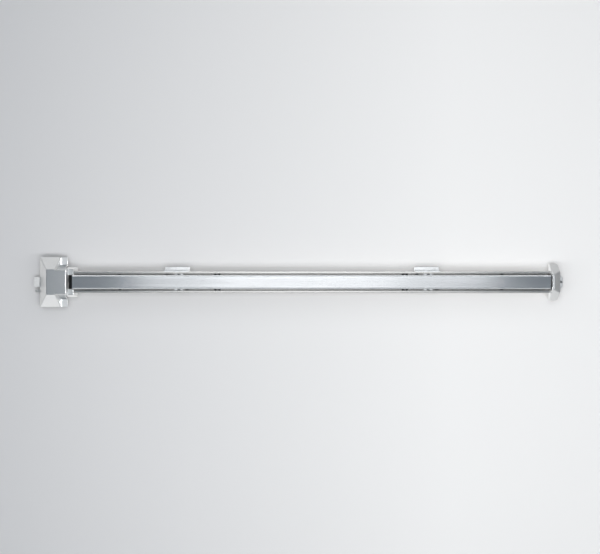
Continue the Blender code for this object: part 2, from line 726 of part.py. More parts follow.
def rubber_bumpers():
    """Pads on the rail's floor that meet the bar's edges at full travel."""
    near, far = RAIL_FLOOR + GAP, BAR_REAR - BAR_TRAVEL - GAP
    for side, x in BUMPER_XS.items():
        for place, z in (("upper", BUMPER_Z), ("lower", -BUMPER_Z)):
            middle = (x, -(near + far) / 2, z)
            pad = cylinder(f"bumper_{side}_{place}", BUMPER_RADIUS, "Y", middle, far - near, 12)
            finished(pad, "rubber", smooth=True)


# ---- linkage ------------------------------------------------------------------------------------


def crank_bracket(side, x):
    """Two cheeks with feet on the rail's floor, joined by a web behind the crank."""
    floor = RAIL_FLOOR + GAP
    top, foot = PIVOT_DEPTH + 0.0034, floor + 0.0018
    left, right = x - 0.0060, x + 0.0120
    bracket = box(
        f"crank_bracket_{side}", (x + 0.0100, right), (0.0140, top), (-CHEEK_OUTER, CHEEK_OUTER)
    )
    for way in (-1, 1):
        cheek_z = sorted((way * CHEEK_INNER, way * CHEEK_OUTER))
        foot_z = sorted((way * (CHEEK_INNER + 0.0002), way * 0.0188))
        cheek = box(f"crank_cheek_{side}_{way}", (left, right - 0.0002), (floor, top - 0.0002), cheek_z)
        foot_x = (left + 0.0002, right - 0.0004)
        flat = box(f"crank_foot_{side}_{way}", foot_x, (floor - 0.0001, foot), foot_z)
        join(bracket, cheek, flat)
        drill_place = (x + FOOT_RIVET_DX, -floor, way * FOOT_RIVET_Z)
        cut(bracket, cylinder(f"crank_foot_hole_{side}_{way}", 0.0019, "Y", drill_place, 0.010))
    bore = cylinder(f"crank_bracket_bore_{side}", PIN_RADIUS + 0.0001, "Z", (x, -PIVOT_DEPTH, 0), 0.040)
    cut(bracket, bore)
    return finished(bracket, "zinc_plate")


def bracket_rivets(side, x):
    """Rivets through the feet of a crank bracket and the rail."""
    head = RAIL_FLOOR + GAP + 0.0018 + GAP
    profile = screw_profile(0.0030, 0.0014, 0.0017, head - RAIL_BACK - 0.0002)
    for place, z in (("upper", FOOT_RIVET_Z), ("lower", -FOOT_RIVET_Z)):
        rivet = turned(f"rivet_{side}_{place}", profile, "-Y", (x + FOOT_RIVET_DX, -head, z))
        finished(rivet, "pin_steel", smooth=True)


def pivot_pin(side, x):
    """A headed pin through both cheeks."""
    outer = CHEEK_OUTER
    profile = [
        (0.0, outer + 0.0013),
        (0.0040, outer + 0.0013),
        (0.0040, outer + 0.0002),
        (PIN_RADIUS, outer + 0.0002),
        (PIN_RADIUS, -outer - 0.0015),
        (0.0, -outer - 0.0015),
    ]
    pin = turned(f"pivot_pin_{side}", profile, "Z", (x, -PIVOT_DEPTH, 0), ROUND)
    return finished(pin, "pin_steel", smooth=True)


def pin_clip(side, x):
    """A spring clip on the plain end of a pivot pin."""
    middle = (x, -PIVOT_DEPTH, -CHEEK_OUTER - 0.0006)
    clip = cylinder(f"pin_clip_{side}", 0.0042, "Z", middle, 0.0008)
    bore = cylinder(f"pin_clip_bore_{side}", PIN_RADIUS + 0.0001, "Z", middle, 0.003)
    mouth = box(
        f"pin_clip_mouth_{side}",
        (x - 0.0014, x + 0.0014),
        (PIVOT_DEPTH, PIVOT_DEPTH + 0.006),
        (-CHEEK_OUTER - 0.002, -CHEEK_OUTER + 0.001),
    )
    cut(clip, bore, mouth)
    return finished(clip, "spring_steel")


def crank_ends(x):
    """(x, depth) of the link pin on the bar's arm, and of the nose on the rod's arm, at rest."""
    swing_x, swing_y = math.cos(HALF_SWING), math.sin(HALF_SWING)
    bar_end = (x - ARM_BAR * swing_x, PIVOT_DEPTH + ARM_BAR * swing_y)
    rod_end = (x - ARM_ROD * swing_y, PIVOT_DEPTH - ARM_ROD * swing_x)
    return bar_end, rod_end


def bell_crank(side, x, carrier):
    """A flat two-armed lever on a hub. One arm carries the link pin, the other ends in a round nose."""
    pivot = (x, PIVOT_DEPTH)
    bar_end, rod_end = crank_ends(x)
    span = (-CRANK_HALF, CRANK_HALF)
    inner = (0.00003 - CRANK_HALF, CRANK_HALF - 0.00003)
    crank = extruded(f"bell_crank_{side}", arm_outline(pivot, bar_end, 0.0044), "Z", span)
    rod_arm = extruded(f"bell_crank_rod_arm_{side}", arm_outline(pivot, rod_end, 0.0027), "Z", inner)
    nose = extruded(f"bell_crank_nose_{side}", circle(*rod_end, NOSE_RADIUS, 24), "Z", inner)
    hub = cylinder(f"bell_crank_hub_{side}", HUB_RADIUS, "Z", (x, -PIVOT_DEPTH, 0), 2 * HUB_HALF, 24)
    join(crank, rod_arm, nose, hub)
    bore = cylinder(f"bell_crank_bore_{side}", BUSH_RADIUS + 0.0001, "Z", (x, -PIVOT_DEPTH, 0), 0.03, 24)
    pin_place = (bar_end[0], -bar_end[1], 0)
    pin_hole = cylinder(f"bell_crank_pin_hole_{side}", LINK_PIN_RADIUS + 0.0001, "Z", pin_place, 0.02)
    cut(crank, bore, pin_hole)
    return finished(crank, "zinc_plate", carrier)


def crank_bush(side, x, carrier):
    bush = cylinder(f"crank_bush_{side}", BUSH_RADIUS, "Z", (x, -PIVOT_DEPTH, 0), 2 * HUB_HALF + 0.0002, 24)
    bore = cylinder(f"crank_bush_bore_{side}", PIN_RADIUS + 0.00008, "Z", (x, -PIVOT_DEPTH, 0), 0.03, 24)
    cut(bush, bore)
    return finished(bush, "bush_brass", carrier)


def link_pin(side, x, carrier):
    bar_end, _ = crank_ends(x)
    place = (bar_end[0], -bar_end[1], 0)
    pin = cylinder(f"link_pin_{side}", LINK_PIN_RADIUS, "Z", place, 2 * LINK_PIN_HALF)
    return finished(pin, "pin_steel", carrier, smooth=True)


def post_start(window_start):
    return window_start + SPRING_LENGTH + 2 * GAP


def actuator_rod(carrier):
    """The flat rod along the rail's floor, with windows for the crank noses and the return springs."""
    left, right = ROD_PIN_X - 0.0060, PIVOTS["right"] + 0.0150
    neck = (LINK_Z - 0.0040, LINK_Z + 0.0035)
    outline = [
        (left, neck[0]),
        (ROD_NECK_END, neck[0]),
        (ROD_NECK_END + 0.008, -ROD_HALF),
        (right, -ROD_HALF),
        (right, ROD_HALF),
        (ROD_NECK_END + 0.008, ROD_HALF),
        (ROD_NECK_END + 0.007, neck[1]),
        (left, neck[1]),
    ]
    holes = [circle(ROD_PIN_X, LINK_Z, 0.0021)]
    for x in PIVOTS.values():
        nose_x = crank_ends(x)[1][0]
        holes.append(rectangle(nose_x - NOSE_ROOM, nose_x + NOSE_ROOM, CRANK_HALF + 0.0004))
    for start in WINDOW_STARTS.values():
        holes.append(rectangle(start, post_start(start) + POST_WIDTH + 0.0006, WINDOW_HALF))
    rod = extruded("actuator_rod", outline, "Y", (ROD_NEAR, ROD_FAR), holes)
    return finished(rod, "zinc_plate", carrier)


def rectangle(left, right, half):
    return [(left, -half), (right, -half), (right, half), (left, half)]


def rod_pin(carrier):
    """The pin in the rod's end that pulls the latch by its tongue."""
    near, far = TONGUE_NEAR - 0.0010, ROD_FAR + 0.0003
    profile = [
        (0.0, far + 0.0010),
        (0.0034, far + 0.0010),
        (0.0034, far),
        (0.0020, far),
        (0.0020, TONGUE_FAR + 0.0001),
        (0.0025, TONGUE_FAR + 0.0001),
        (0.0025, near),
        (0.0, near),
    ]
    pin = turned("rod_pin", profile, "-Y", (ROD_PIN_X, 0, LINK_Z), ROUND)
    return finished(pin, "pin_steel", carrier, smooth=True)


def rod_guide(side, window_start):
    """A nylon block that the rod slides in, with the post that a return spring pushes against."""
    left = post_start(window_start)
    right = left + GUIDE_WIDTH
    floor = RAIL_FLOOR + GAP
    guide = box(f"rod_guide_{side}", (left, right), (floor, ROD_FAR + 0.0022), (-0.0108, 0.0108))
    foot = box(f"rod_guide_foot_{side}", (left, right), (floor, floor + 0.0020), (-0.0180, 0.0180))
    join(guide, foot)
    near, far = ROD_NEAR - 0.0003, ROD_FAR + 0.0003
    tunnel = box(
        f"rod_guide_tunnel_{side}", (left + POST_WIDTH, right + 0.001), (near, far), (-0.0083, 0.0083)
    )
    cut(guide, tunnel)
    for way in (-1, 1):
        z = sorted((way * (WINDOW_HALF - 0.0003), way * 0.0083))
        cut(guide, box(f"rod_guide_slot_{side}_{way}", (left - 0.001, right), (near, far), z))
        place = (left + GUIDE_FOOT_SCREW_DX, -floor, way * GUIDE_FOOT_SCREW_Z)
        cut(guide, cylinder(f"rod_guide_hole_{side}_{way}", 0.0017, "Y", place, 0.012))
    return finished(guide, "nylon")


def rod_guide_screws(side, window_start):
    head = RAIL_FLOOR + GAP + 0.0020 + GAP
    profile = screw_profile(0.0026, 0.0016, 0.0015, head - RAIL_BACK - 0.0002)
    x = post_start(window_start) + GUIDE_FOOT_SCREW_DX
    for place, z in (("upper", GUIDE_FOOT_SCREW_Z), ("lower", -GUIDE_FOOT_SCREW_Z)):
        screw = turned(f"rod_guide_screw_{side}_{place}", profile, "-Y", (x, -head, z))
        finished(screw, "screw_steel", smooth=True)


def return_spring(side, window_start):
    start = (window_start + GAP, -(ROD_NEAR + ROD_FAR) / 2, 0)
    spring = coil(f"return_spring_{side}", SPRING_RADIUS, SPRING_WIRE, start, SPRING_LENGTH, 9)
    return finished(spring, "spring_steel")


# ---- push bar -----------------------------------------------------------------------------------


def bar_outline(inset):
    """The bar's outer section, or its inner one moved in by the wall, open at the rear."""
    half, front = BAR_HALF - inset, BAR_FRONT - inset
    flat = BAR_HALF - ROLL_WIDTH - inset * 0.4
    roll = BAR_FRONT - ROLL_DEPTH - inset * 0.4
    return [
        (BAR_REAR, -half),
        (roll, -half),
        (front, -flat),
        (front, flat),
        (roll, half),
        (BAR_REAR, half),
    ]


def push_bar(carrier):
    section = bar_outline(0.0) + bar_outline(BAR_WALL)[::-1]
    bar = extruded("push_bar", section, "X", (BAR_START, BAR_END))
    return finished(bar, "bar_stainless", carrier)


def bar_plug(side, end, inward, carrier):
    """A plug that closes an end of the bar, with a flange as large as the bar's section."""
    outer = sorted((end - inward * GAP, end - inward * (GAP + PLUG_FLANGE)))
    inner = sorted((end - inward * (GAP + PLUG_FLANGE / 2), end + inward * PLUG_LENGTH))
    plug = extruded(f"bar_plug_{side}", bar_outline(0.0), "X", outer)
    body = [(max(depth, BAR_REAR + 0.0010), z) for depth, z in bar_outline(BAR_WALL + 0.0002)]
    join(plug, extruded(f"bar_plug_body_{side}", body, "X", inner))
    return finished(plug, "nylon", carrier)


def bar_lug(side, x, carrier):
    """A channel inside the bar whose slots take the crank's link pin."""
    pin, _ = crank_ends(x)
    front = BAR_FRONT - BAR_WALL - GAP
    left, right = pin[0] - 0.0097, pin[0] + 0.0083
    cheek_outer, cheek_inner, rear = 0.0070, 0.0054, pin[1] - 0.0048
    lug = box(f"bar_lug_{side}", (left, right), (front - 0.0015, front), (-0.0078, 0.0078))
    for way in (-1, 1):
        cheek_x, cheek_depth = (left + 0.0001, right - 0.0001), (rear, front - 0.0008)
        z = sorted((way * cheek_inner, way * cheek_outer))
        join(lug, box(f"bar_lug_cheek_{side}_{way}", cheek_x, cheek_depth, z))
    run = ARM_BAR * (1 - math.cos(HALF_SWING))
    slot_start, slot_end = (pin[0] - run - 0.0003, pin[1]), (pin[0] + 0.0003, pin[1])
    slot = arm_outline(slot_start, slot_end, LINK_PIN_RADIUS + 0.0002)
    cut(lug, extruded(f"bar_lug_slot_{side}", slot, "Z", (-0.010, 0.010)))
    return finished(lug, "zinc_plate", carrier)


# ---- end cap ------------------------------------------------------------------------------------

def lobe_outline(outer):
    """The screw lobe on the cap's right side, seen from the front."""
    inner, shoulder = outer - 0.0130, outer - 0.0050
    half, end_half = 0.0140, 0.0090
    return [
        (inner, -half),
        (shoulder, -half),
        (outer, -end_half),
        (outer, end_half),
        (shoulder, half),
        (inner, half),
    ]


def end_cap():
    radii = (0.0006, 0.0036)
    outer = [rectangle_ring(d, (CAP_LEFT, right), half, radii) for d, right, half in CAP_STEPS]
    skin = CAP_SKIN
    inner = [
        rectangle_ring(
            min(d, CAP_FRONT - skin) if d > GAP else -0.001,
            (CAP_LEFT + skin, right - skin),
            half - skin * 1.08,
            (0.0006, 0.0018),
        )
        for d, right, half in CAP_STEPS
    ]
    cap = lofted("end_cap", outer)
    lobe = extruded("cap_lobe", lobe_outline(LOBE_OUTER), "Y", (LOBE_NEAR, LOBE_FRONT))
    hollow = lofted("cap_hollow", inner)
    cut(cap, hollow)
    join(cap, lobe)
    reach = RAIL_HALF + 0.0004
    opening = box(
        "cap_rail_opening",
        (CAP_LEFT - 0.001, RAIL_END + 0.0006),
        (-0.001, RAIL_FRONT + 0.0004),
        (-reach, reach),
    )
    place = (CAP_SCREW_X, -LOBE_FRONT / 2, 0)
    hole = cylinder("cap_screw_hole", CAP_SCREW_HOLE, "Y", place, 0.060)
    recess = cylinder("cap_screw_recess", CAP_SCREW_RECESS, "Y", (CAP_SCREW_X, -LOBE_FRONT - 0.005, 0), 0.016)
    under = box("cap_underside", (0.9700, 1.0000), (-0.002, PLATE + GAP), (-0.0145, 0.0145))
    cut(cap, opening, hole, recess, under)
    return finished(cap, "cast_silver")


def end_bracket():
    """The door plate under the cap, with two cheeks that hold the rail's end."""
    left, right = CAP_LEFT + CAP_SKIN + 0.0008, CAP_RIGHT - CAP_SKIN - 0.0006
    outline = [
        (left, -0.0315),
        (right, -0.0315),
        (right, -0.0125),
        (LOBE_OUTER - 0.0006, -0.0080),
        (LOBE_OUTER - 0.0006, 0.0080),
        (right, 0.0125),
        (right, 0.0315),
        (left, 0.0315),
    ]
    holes = [circle(CAP_SCREW_X, 0.0, CAP_SCREW_HOLE)]
    holes += [circle(left + 0.0065, z, 0.0024) for z in (-0.0275, 0.0275)]
    bracket = extruded("end_bracket", outline, "Y", (0.0, PLATE), holes)
    for way in (-1, 1):
        z = sorted((way * (RAIL_HALF + 0.0004), way * (RAIL_HALF + 0.0024)))
        join(bracket, box(f"end_bracket_cheek_{way}", (left, 0.9842), (PLATE / 2, 0.0180), z))
    return finished(bracket, "zinc_plate")


def end_cap_screw():
    head = LOBE_FRONT - 0.0030
    profile = screw_profile(0.0021, 0.0020, CAP_SCREW_HOLE - 0.0002, head - 0.0004)
    screw = turned("end_cap_screw", profile, "-Y", (CAP_SCREW_X, -head - 0.0001, 0), ROUND)
    return finished(screw, "screw_steel", smooth=True)


# ---- assembly -----------------------------------------------------------------------------------


def build():
    chassis_plate()
    latch_guide()
    guide_screws()
    spring_stop()
    mechanism_cover()
    cover_screws()
    rail_collar()
    base_rail()
    rubber_bumpers()

    latch_carrier = joint_empty("latch_slide", (LATCH_TIP, -LATCH_NEAR, (LATCH_LOW + LATCH_HIGH) / 2))
    latch_bolt(latch_carrier)
    latch_spring()
    aux_carrier = joint_empty("auxiliary_slide", (AUX_TIP, -AUX_NEAR, (AUX_LOW + AUX_HIGH) / 2))
    auxiliary_bolt(aux_carrier)
    auxiliary_spring()

    bar_carrier = joint_empty("push_bar_press", ((BAR_START + BAR_END) / 2, -BAR_FRONT, 0))
    push_bar(bar_carrier)
    bar_plug("left", BAR_START, 1, bar_carrier)
    bar_plug("right", BAR_END, -1, bar_carrier)

    rod_carrier = joint_empty("rod_slide", (ROD_PIN_X, -ROD_NEAR, 0))
    actuator_rod(rod_carrier)
    rod_pin(rod_carrier)

    for side, x in PIVOTS.items():
        rail_bracket(side, x)
        rail_screws(side, x)
        crank_bracket(side, x)
        bracket_rivets(side, x)
        pivot_pin(side, x)
        pin_clip(side, x)
        crank_carrier = joint_empty(f"crank_{side}_turn", (x, -PIVOT_DEPTH, 0))
        bell_crank(side, x, crank_carrier)
        crank_bush(side, x, crank_carrier)
        link_pin(side, x, crank_carrier)
        bar_lug(side, x, bar_carrier)

    for side, start in WINDOW_STARTS.items():
        rod_guide(side, start)
        rod_guide_screws(side, start)
        return_spring(side, start)

    end_bracket()
    end_cap()
    end_cap_screw()


build()
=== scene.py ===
import json
import math

import bmesh
import bpy
from mathutils import Matrix, Vector

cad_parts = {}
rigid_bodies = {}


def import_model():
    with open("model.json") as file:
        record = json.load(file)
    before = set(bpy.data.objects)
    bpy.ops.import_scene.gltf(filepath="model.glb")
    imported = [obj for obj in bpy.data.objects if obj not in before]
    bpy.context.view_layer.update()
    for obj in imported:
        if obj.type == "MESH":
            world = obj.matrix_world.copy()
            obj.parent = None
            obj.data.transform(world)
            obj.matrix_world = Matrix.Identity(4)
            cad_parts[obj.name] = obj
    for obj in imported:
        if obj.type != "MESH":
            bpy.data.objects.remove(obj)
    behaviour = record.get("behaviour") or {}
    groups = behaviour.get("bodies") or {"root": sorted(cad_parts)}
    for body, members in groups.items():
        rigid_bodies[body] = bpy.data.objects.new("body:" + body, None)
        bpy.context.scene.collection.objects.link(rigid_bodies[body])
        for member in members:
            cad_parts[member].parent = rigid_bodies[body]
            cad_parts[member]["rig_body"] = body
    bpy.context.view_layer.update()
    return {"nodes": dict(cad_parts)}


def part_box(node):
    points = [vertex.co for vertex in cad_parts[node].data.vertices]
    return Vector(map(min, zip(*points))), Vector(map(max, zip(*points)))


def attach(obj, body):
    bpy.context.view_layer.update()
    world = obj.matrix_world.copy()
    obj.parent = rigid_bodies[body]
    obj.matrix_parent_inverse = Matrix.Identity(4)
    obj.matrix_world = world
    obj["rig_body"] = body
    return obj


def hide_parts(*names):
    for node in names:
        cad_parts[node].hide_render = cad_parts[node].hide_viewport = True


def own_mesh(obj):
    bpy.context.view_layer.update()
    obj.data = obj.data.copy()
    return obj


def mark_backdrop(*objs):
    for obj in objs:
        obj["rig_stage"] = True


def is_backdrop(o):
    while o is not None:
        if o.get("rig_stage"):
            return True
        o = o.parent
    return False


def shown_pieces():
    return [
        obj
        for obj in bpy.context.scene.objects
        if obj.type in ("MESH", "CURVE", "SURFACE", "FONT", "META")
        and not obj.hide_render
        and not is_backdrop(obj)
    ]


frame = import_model()

# The frame: +X along the bar away from the latch, +Z up, the door's face is Y = 0 and the device
# stands out of it towards -Y. Depths below are distances from the door. Metres throughout.

GAP = 0.0003
PLAY = 0.0004  # clearance around what passes through a cast piece
THROUGH = 0.0010  # how far a cutter stands out of what it cuts
WELD = 0.000002
FLAT = math.radians(0.5)
MIDDLE_X = 0.4836
NODES = frame["nodes"]
SLOT_OF = {name: node.data.materials[0].name.split(".")[0] for name, node in NODES.items()}

# ---- shape makers -------------------------------------------------------------------------------


def from_bmesh(name, shape, matrix=None):
    mesh = bpy.data.meshes.new(name)
    shape.to_mesh(mesh)
    shape.free()
    if matrix is not None:
        mesh.transform(matrix)
    item = bpy.data.objects.new(name, mesh)
    bpy.context.scene.collection.objects.link(item)
    return item


def baked(item):
    """Applies the modifiers and welds what they leave."""
    bpy.context.view_layer.update()
    graph = bpy.context.evaluated_depsgraph_get()
    mesh = bpy.data.meshes.new_from_object(item.evaluated_get(graph))
    shape = bmesh.new()
    shape.from_mesh(mesh)
    bmesh.ops.remove_doubles(shape, verts=shape.verts, dist=WELD)
    shape.to_mesh(mesh)
    shape.free()
    item.modifiers.clear()
    item.data = mesh
    return item


def carve(target, operation, *tools):
    for tool in tools:
        modifier = target.modifiers.new(tool.name, "BOOLEAN")
        modifier.operation, modifier.object, modifier.solver = operation, tool, "EXACT"
    baked(target)
    for tool in tools:
        bpy.data.objects.remove(tool, do_unlink=True)
    return target


def cut(target, *tools):
    return carve(target, "DIFFERENCE", *tools)


def join(target, *tools):
    return carve(target, "UNION", *tools)


def softened(item, width, limit=30.0, segments=3):
    """Rounds the edges that turn by more than the limit, in degrees."""
    bevel = item.modifiers.new("soft_edges", "BEVEL")
    bevel.limit_method = "ANGLE"
    bevel.angle_limit = math.radians(limit)
    bevel.width = width
    bevel.segments = segments
    bevel.use_clamp_overlap = False
    return baked(item)


def box(name, x, y, z, soft=0.0):
    """A block between (low, high) pairs. Depths y are distances from the door, so they run towards -Y."""
    shape = bmesh.new()
    bmesh.ops.create_cube(shape, size=1.0)
    size = Vector((x[1] - x[0], y[1] - y[0], z[1] - z[0]))
    bmesh.ops.scale(shape, vec=size, verts=shape.verts)
    middle = Vector((sum(x) / 2, -sum(y) / 2, sum(z) / 2))
    item = from_bmesh(name, shape, Matrix.Translation(middle))
    return softened(item, soft) if soft else item


AXIS_TURNS = {
    "X": Matrix.Rotation(math.radians(90), 4, "Y"),
    "Y": Matrix.Rotation(math.radians(-90), 4, "X"),
    "-Y": Matrix.Rotation(math.radians(90), 4, "X"),
    "Z": Matrix.Identity(4),
    "-Z": Matrix.Rotation(math.radians(180), 4, "X"),
}


def cylinder(name, radius, axis, middle, length, segments=32):
    shape = bmesh.new()
    size = {"radius1": radius, "radius2": radius, "depth": length}
    bmesh.ops.create_cone(shape, cap_ends=True, segments=segments, **size)
    return from_bmesh(name, shape, Matrix.Translation(middle) @ AXIS_TURNS[axis])


def turned(name, profile, axis, at, segments=32):
    """A round piece from (radius, height) points. A profile that starts off the axis closes on itself."""
    shape = bmesh.new()
    rings = []
    for radius, height in profile:
        if radius == 0.0:
            rings.append([shape.verts.new((0.0, 0.0, height))])
            continue
        turns = [2 * math.pi * i / segments for i in range(segments)]
        rings.append([shape.verts.new((radius * math.cos(a), radius * math.sin(a), height)) for a in turns])
    pairs = list(zip(rings, rings[1:]))
    if profile[0][0] > 0.0:
        pairs.append((rings[-1], rings[0]))
    for upper, lower in pairs:
        for i in range(segments):
            j = (i + 1) % segments
            if len(upper) == 1:
                shape.faces.new((upper[0], lower[i], lower[j]))
            elif len(lower) == 1:
                shape.faces.new((upper[i], lower[0], upper[j]))
            else:
                shape.faces.new((upper[i], lower[i], lower[j], upper[j]))
    bmesh.ops.recalc_face_normals(shape, faces=shape.faces)
    return from_bmesh(name, shape, Matrix.Translation(at) @ AXIS_TURNS[axis])


# Each plane's first two columns carry the outline, the third one its thickness.
OUTLINE_PLANES = {
    "X": Matrix(((0, 0, 1, 0), (-1, 0, 0, 0), (0, -1, 0, 0), (0, 0, 0, 1))),
    "Y": Matrix(((1, 0, 0, 0), (0, 0, -1, 0), (0, 1, 0, 0), (0, 0, 0, 1))),
    "Z": Matrix(((1, 0, 0, 0), (0, -1, 0, 0), (0, 0, -1, 0), (0, 0, 0, 1))),
}
THICKNESS_WAY = {"X": Vector((1, 0, 0)), "Y": Vector((0, -1, 0)), "Z": Vector((0, 0, 1))}


def extruded(name, outline, axis, span, holes=(), soft=0.0, limit=30.0):
    """A flat outline given thickness along an axis, its rims rounded when it is soft.

    Outlines are (depth, -z) pairs across X, (x, z) pairs across Y and (x, depth) pairs across Z.
    """
    curve = bpy.data.curves.new(name, "CURVE")
    curve.dimensions = "2D"
    curve.fill_mode = "BOTH"
    curve.extrude = (span[1] - span[0]) / 2
    for loop in (outline, *holes):
        spline = curve.splines.new("POLY")
        spline.points.add(len(loop) - 1)
        for point, (u, v) in zip(spline.points, loop):
            point.co = (u, v, 0.0, 1.0)
        spline.use_cyclic_u = True
    drawn = bpy.data.objects.new(name + "_outline", curve)
    bpy.context.scene.collection.objects.link(drawn)
    bpy.context.view_layer.update()
    graph = bpy.context.evaluated_depsgraph_get()
    mesh = bpy.data.meshes.new_from_object(drawn.evaluated_get(graph))
    bpy.data.objects.remove(drawn, do_unlink=True)
    shape = bmesh.new()
    shape.from_mesh(mesh)
    bmesh.ops.remove_doubles(shape, verts=shape.verts, dist=WELD)
    bmesh.ops.dissolve_limit(shape, angle_limit=FLAT, verts=shape.verts, edges=shape.edges)
    bmesh.ops.recalc_face_normals(shape, faces=shape.faces)
    middle = THICKNESS_WAY[axis] * (sum(span) / 2)
    item = from_bmesh(name, shape, Matrix.Translation(middle) @ OUTLINE_PLANES[axis])
    return softened(item, soft, limit) if soft else item


def circle(u, v, radius, segments=32):
    steps = [2 * math.pi * i / segments for i in range(segments)]
    return [(u + radius * math.cos(a), v + radius * math.sin(a)) for a in steps]


def arm_outline(start, end, radius, steps=16):
    """A bar with round ends between two points."""
    heading = math.atan2(end[1] - start[1], end[0] - start[0])
    outline = []
    for (u, v), first in ((end, heading - math.pi / 2), (start, heading + math.pi / 2)):
        for i in range(steps + 1):
            angle = first + math.pi * i / steps
            outline.append((u + radius * math.cos(angle), v + radius * math.sin(angle)))
    return outline


def filleted(corners, steps=6):
    """An outline with rounded corners, from (u, v, radius) in order."""
    points = []
    for i, (u, v, radius) in enumerate(corners):
        here = Vector((u, v))
        if radius <= 0.0:
            points.append((u, v))
            continue
        before = (Vector(corners[i - 1][:2]) - here).normalized()
        after = (Vector(corners[(i + 1) % len(corners)][:2]) - here).normalized()
        half = before.angle(after) / 2
        centre = here + (before + after).normalized() * (radius / math.sin(half))
        start = here + before * (radius / math.tan(half)) - centre
        end = here + after * (radius / math.tan(half)) - centre
        first = math.atan2(start.y, start.x)
        turn = (math.atan2(end.y, end.x) - first + math.pi) % (2 * math.pi) - math.pi
        for step in range(steps + 1):
            angle = first + turn * step / steps
            points.append((centre.x + radius * math.cos(angle), centre.y + radius * math.sin(angle)))
    return points


def rectangle_ring(depth, x, half, radii, steps=6):
    """A ring across Y: a rectangle whose left and right corners have their own radii."""
    left, right = radii
    corners = [
        (x[1] - right, half - right, right, 0.0),
        (x[0] + left, half - left, left, 90.0),
        (x[0] + left, left - half, left, 180.0),
        (x[1] - right, right - half, right, 270.0),
    ]
    ring = []
    for u, v, radius, first in corners:
        for i in range(steps + 1):
            angle = math.radians(first + 90.0 * i / steps)
            ring.append((u + radius * math.cos(angle), -depth, v + radius * math.sin(angle)))
    return ring


def lofted(name, rings, soft=0.0, limit=18.0):
    """A closed skin through rings of equal length, flat at both ends."""
    shape = bmesh.new()
    loops = [[shape.verts.new(point) for point in ring] for ring in rings]
    for back, front in zip(loops, loops[1:]):
        for i, corner in enumerate(back):
            j = (i + 1) % len(back)
            shape.faces.new((corner, back[j], front[j], front[i]))
    shape.faces.new(loops[0])
    shape.faces.new(loops[-1])
    bmesh.ops.recalc_face_normals(shape, faces=shape.faces)
    item = from_bmesh(name, shape)
    return softened(item, soft, limit) if soft else item


def spring_mesh(name, low, high, wire, turns, around=12, per_turn=28):
    """A compression spring along X that fills a box, with a closed coil at each end."""
    radius = (high.z - low.z) / 2 - wire
    length = high.x - low.x - 2 * wire
    closed = 2.1 * wire
    pitch = (length - 2 * closed) / (turns - 2)
    middle = (low + high) / 2
    shape = bmesh.new()
    rings = []
    for k in range(turns * per_turn + 1):
        turn = k / per_turn
        along = closed * min(turn, 1.0) + pitch * min(max(turn - 1.0, 0.0), turns - 2.0)
        along += closed * max(turn - turns + 1.0, 0.0)
        angle = 2 * math.pi * turn
        outward = Vector((0.0, math.cos(angle), math.sin(angle)))
        centre = Vector((low.x + wire + along, middle.y, middle.z)) + outward * radius
        side = Vector((1.0, 0.0, 0.0))
        ring = []
        for i in range(around):
            a = 2 * math.pi * i / around
            ring.append(shape.verts.new(centre + (outward * math.cos(a) + side * math.sin(a)) * wire))
        rings.append(ring)
    for near, far in zip(rings, rings[1:]):
        for i in range(around):
            j = (i + 1) % around
            shape.faces.new((near[i], near[j], far[j], far[i]))
    shape.faces.new(rings[0])
    shape.faces.new(rings[-1])
    bmesh.ops.recalc_face_normals(shape, faces=shape.faces)
    return from_bmesh(name, shape)


def refined(node, soft=0.0002, limit=32.0, segments=2):
    """The shape of a CAD node with its edges broken."""
    shape = bmesh.new()
    shape.from_mesh(NODES[node].data)
    bmesh.ops.remove_doubles(shape, verts=shape.verts, dist=WELD)
    bmesh.ops.dissolve_limit(shape, angle_limit=FLAT, verts=shape.verts, edges=shape.edges)
    bmesh.ops.recalc_face_normals(shape, faces=shape.faces)
    return softened(from_bmesh(node + "_fine", shape), soft, limit, segments)


def finish(piece, *nodes, crease=32.0):
    """Puts a piece in the place of its CAD nodes: on their body, with the finish of their slot, and hides
    the nodes.
    """
    slot = SLOT_OF[nodes[0]]
    piece.data.materials.clear()
    piece.data.materials.append(FINISHES[slot])
    piece.data.shade_smooth()
    piece.data.set_sharp_from_angle(angle=math.radians(crease))
    normals = piece.modifiers.new("even_normals", "WEIGHTED_NORMAL")
    normals.keep_sharp = True
    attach(piece, NODES[nodes[0]]["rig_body"])
    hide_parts(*nodes)
    return piece


# ---- finishes -----------------------------------------------------------------------------------


def node_material(name):
    material = bpy.data.materials.new(name)
    material.use_nodes = True
    tree = material.node_tree
    return material, tree, tree.nodes["Principled BSDF"], tree.nodes["Material Output"]


def shade(tree, kind, values, **settings):
    """Adds a shader node. A value is a number, a colour or another node's output."""
    item = tree.nodes.new("ShaderNode" + kind)
    for key, value in settings.items():
        setattr(item, key, value)
    for socket, value in values.items():
        if isinstance(value, bpy.types.NodeSocket):
            tree.links.new(value, item.inputs[socket])
        else:
            item.inputs[socket].default_value = value
    return item.outputs[0]


def remap(tree, value, low, high, new_low, new_high):
    spans = {"From Min": low, "From Max": high, "To Min": new_low, "To Max": new_high}
    return shade(tree, "MapRange", {"Value": value, **spans})


def computed(tree, operation, first, second):
    return shade(tree, "Math", {0: first, 1: second}, operation=operation)


def mixed_colour(tree, share, first, second):
    return shade(tree, "MixRGB", {0: share, 1: first, 2: second})


def tinted(tree, first, second):
    return shade(tree, "MixRGB", {0: 1.0, 1: first, 2: second}, blend_type="MULTIPLY")


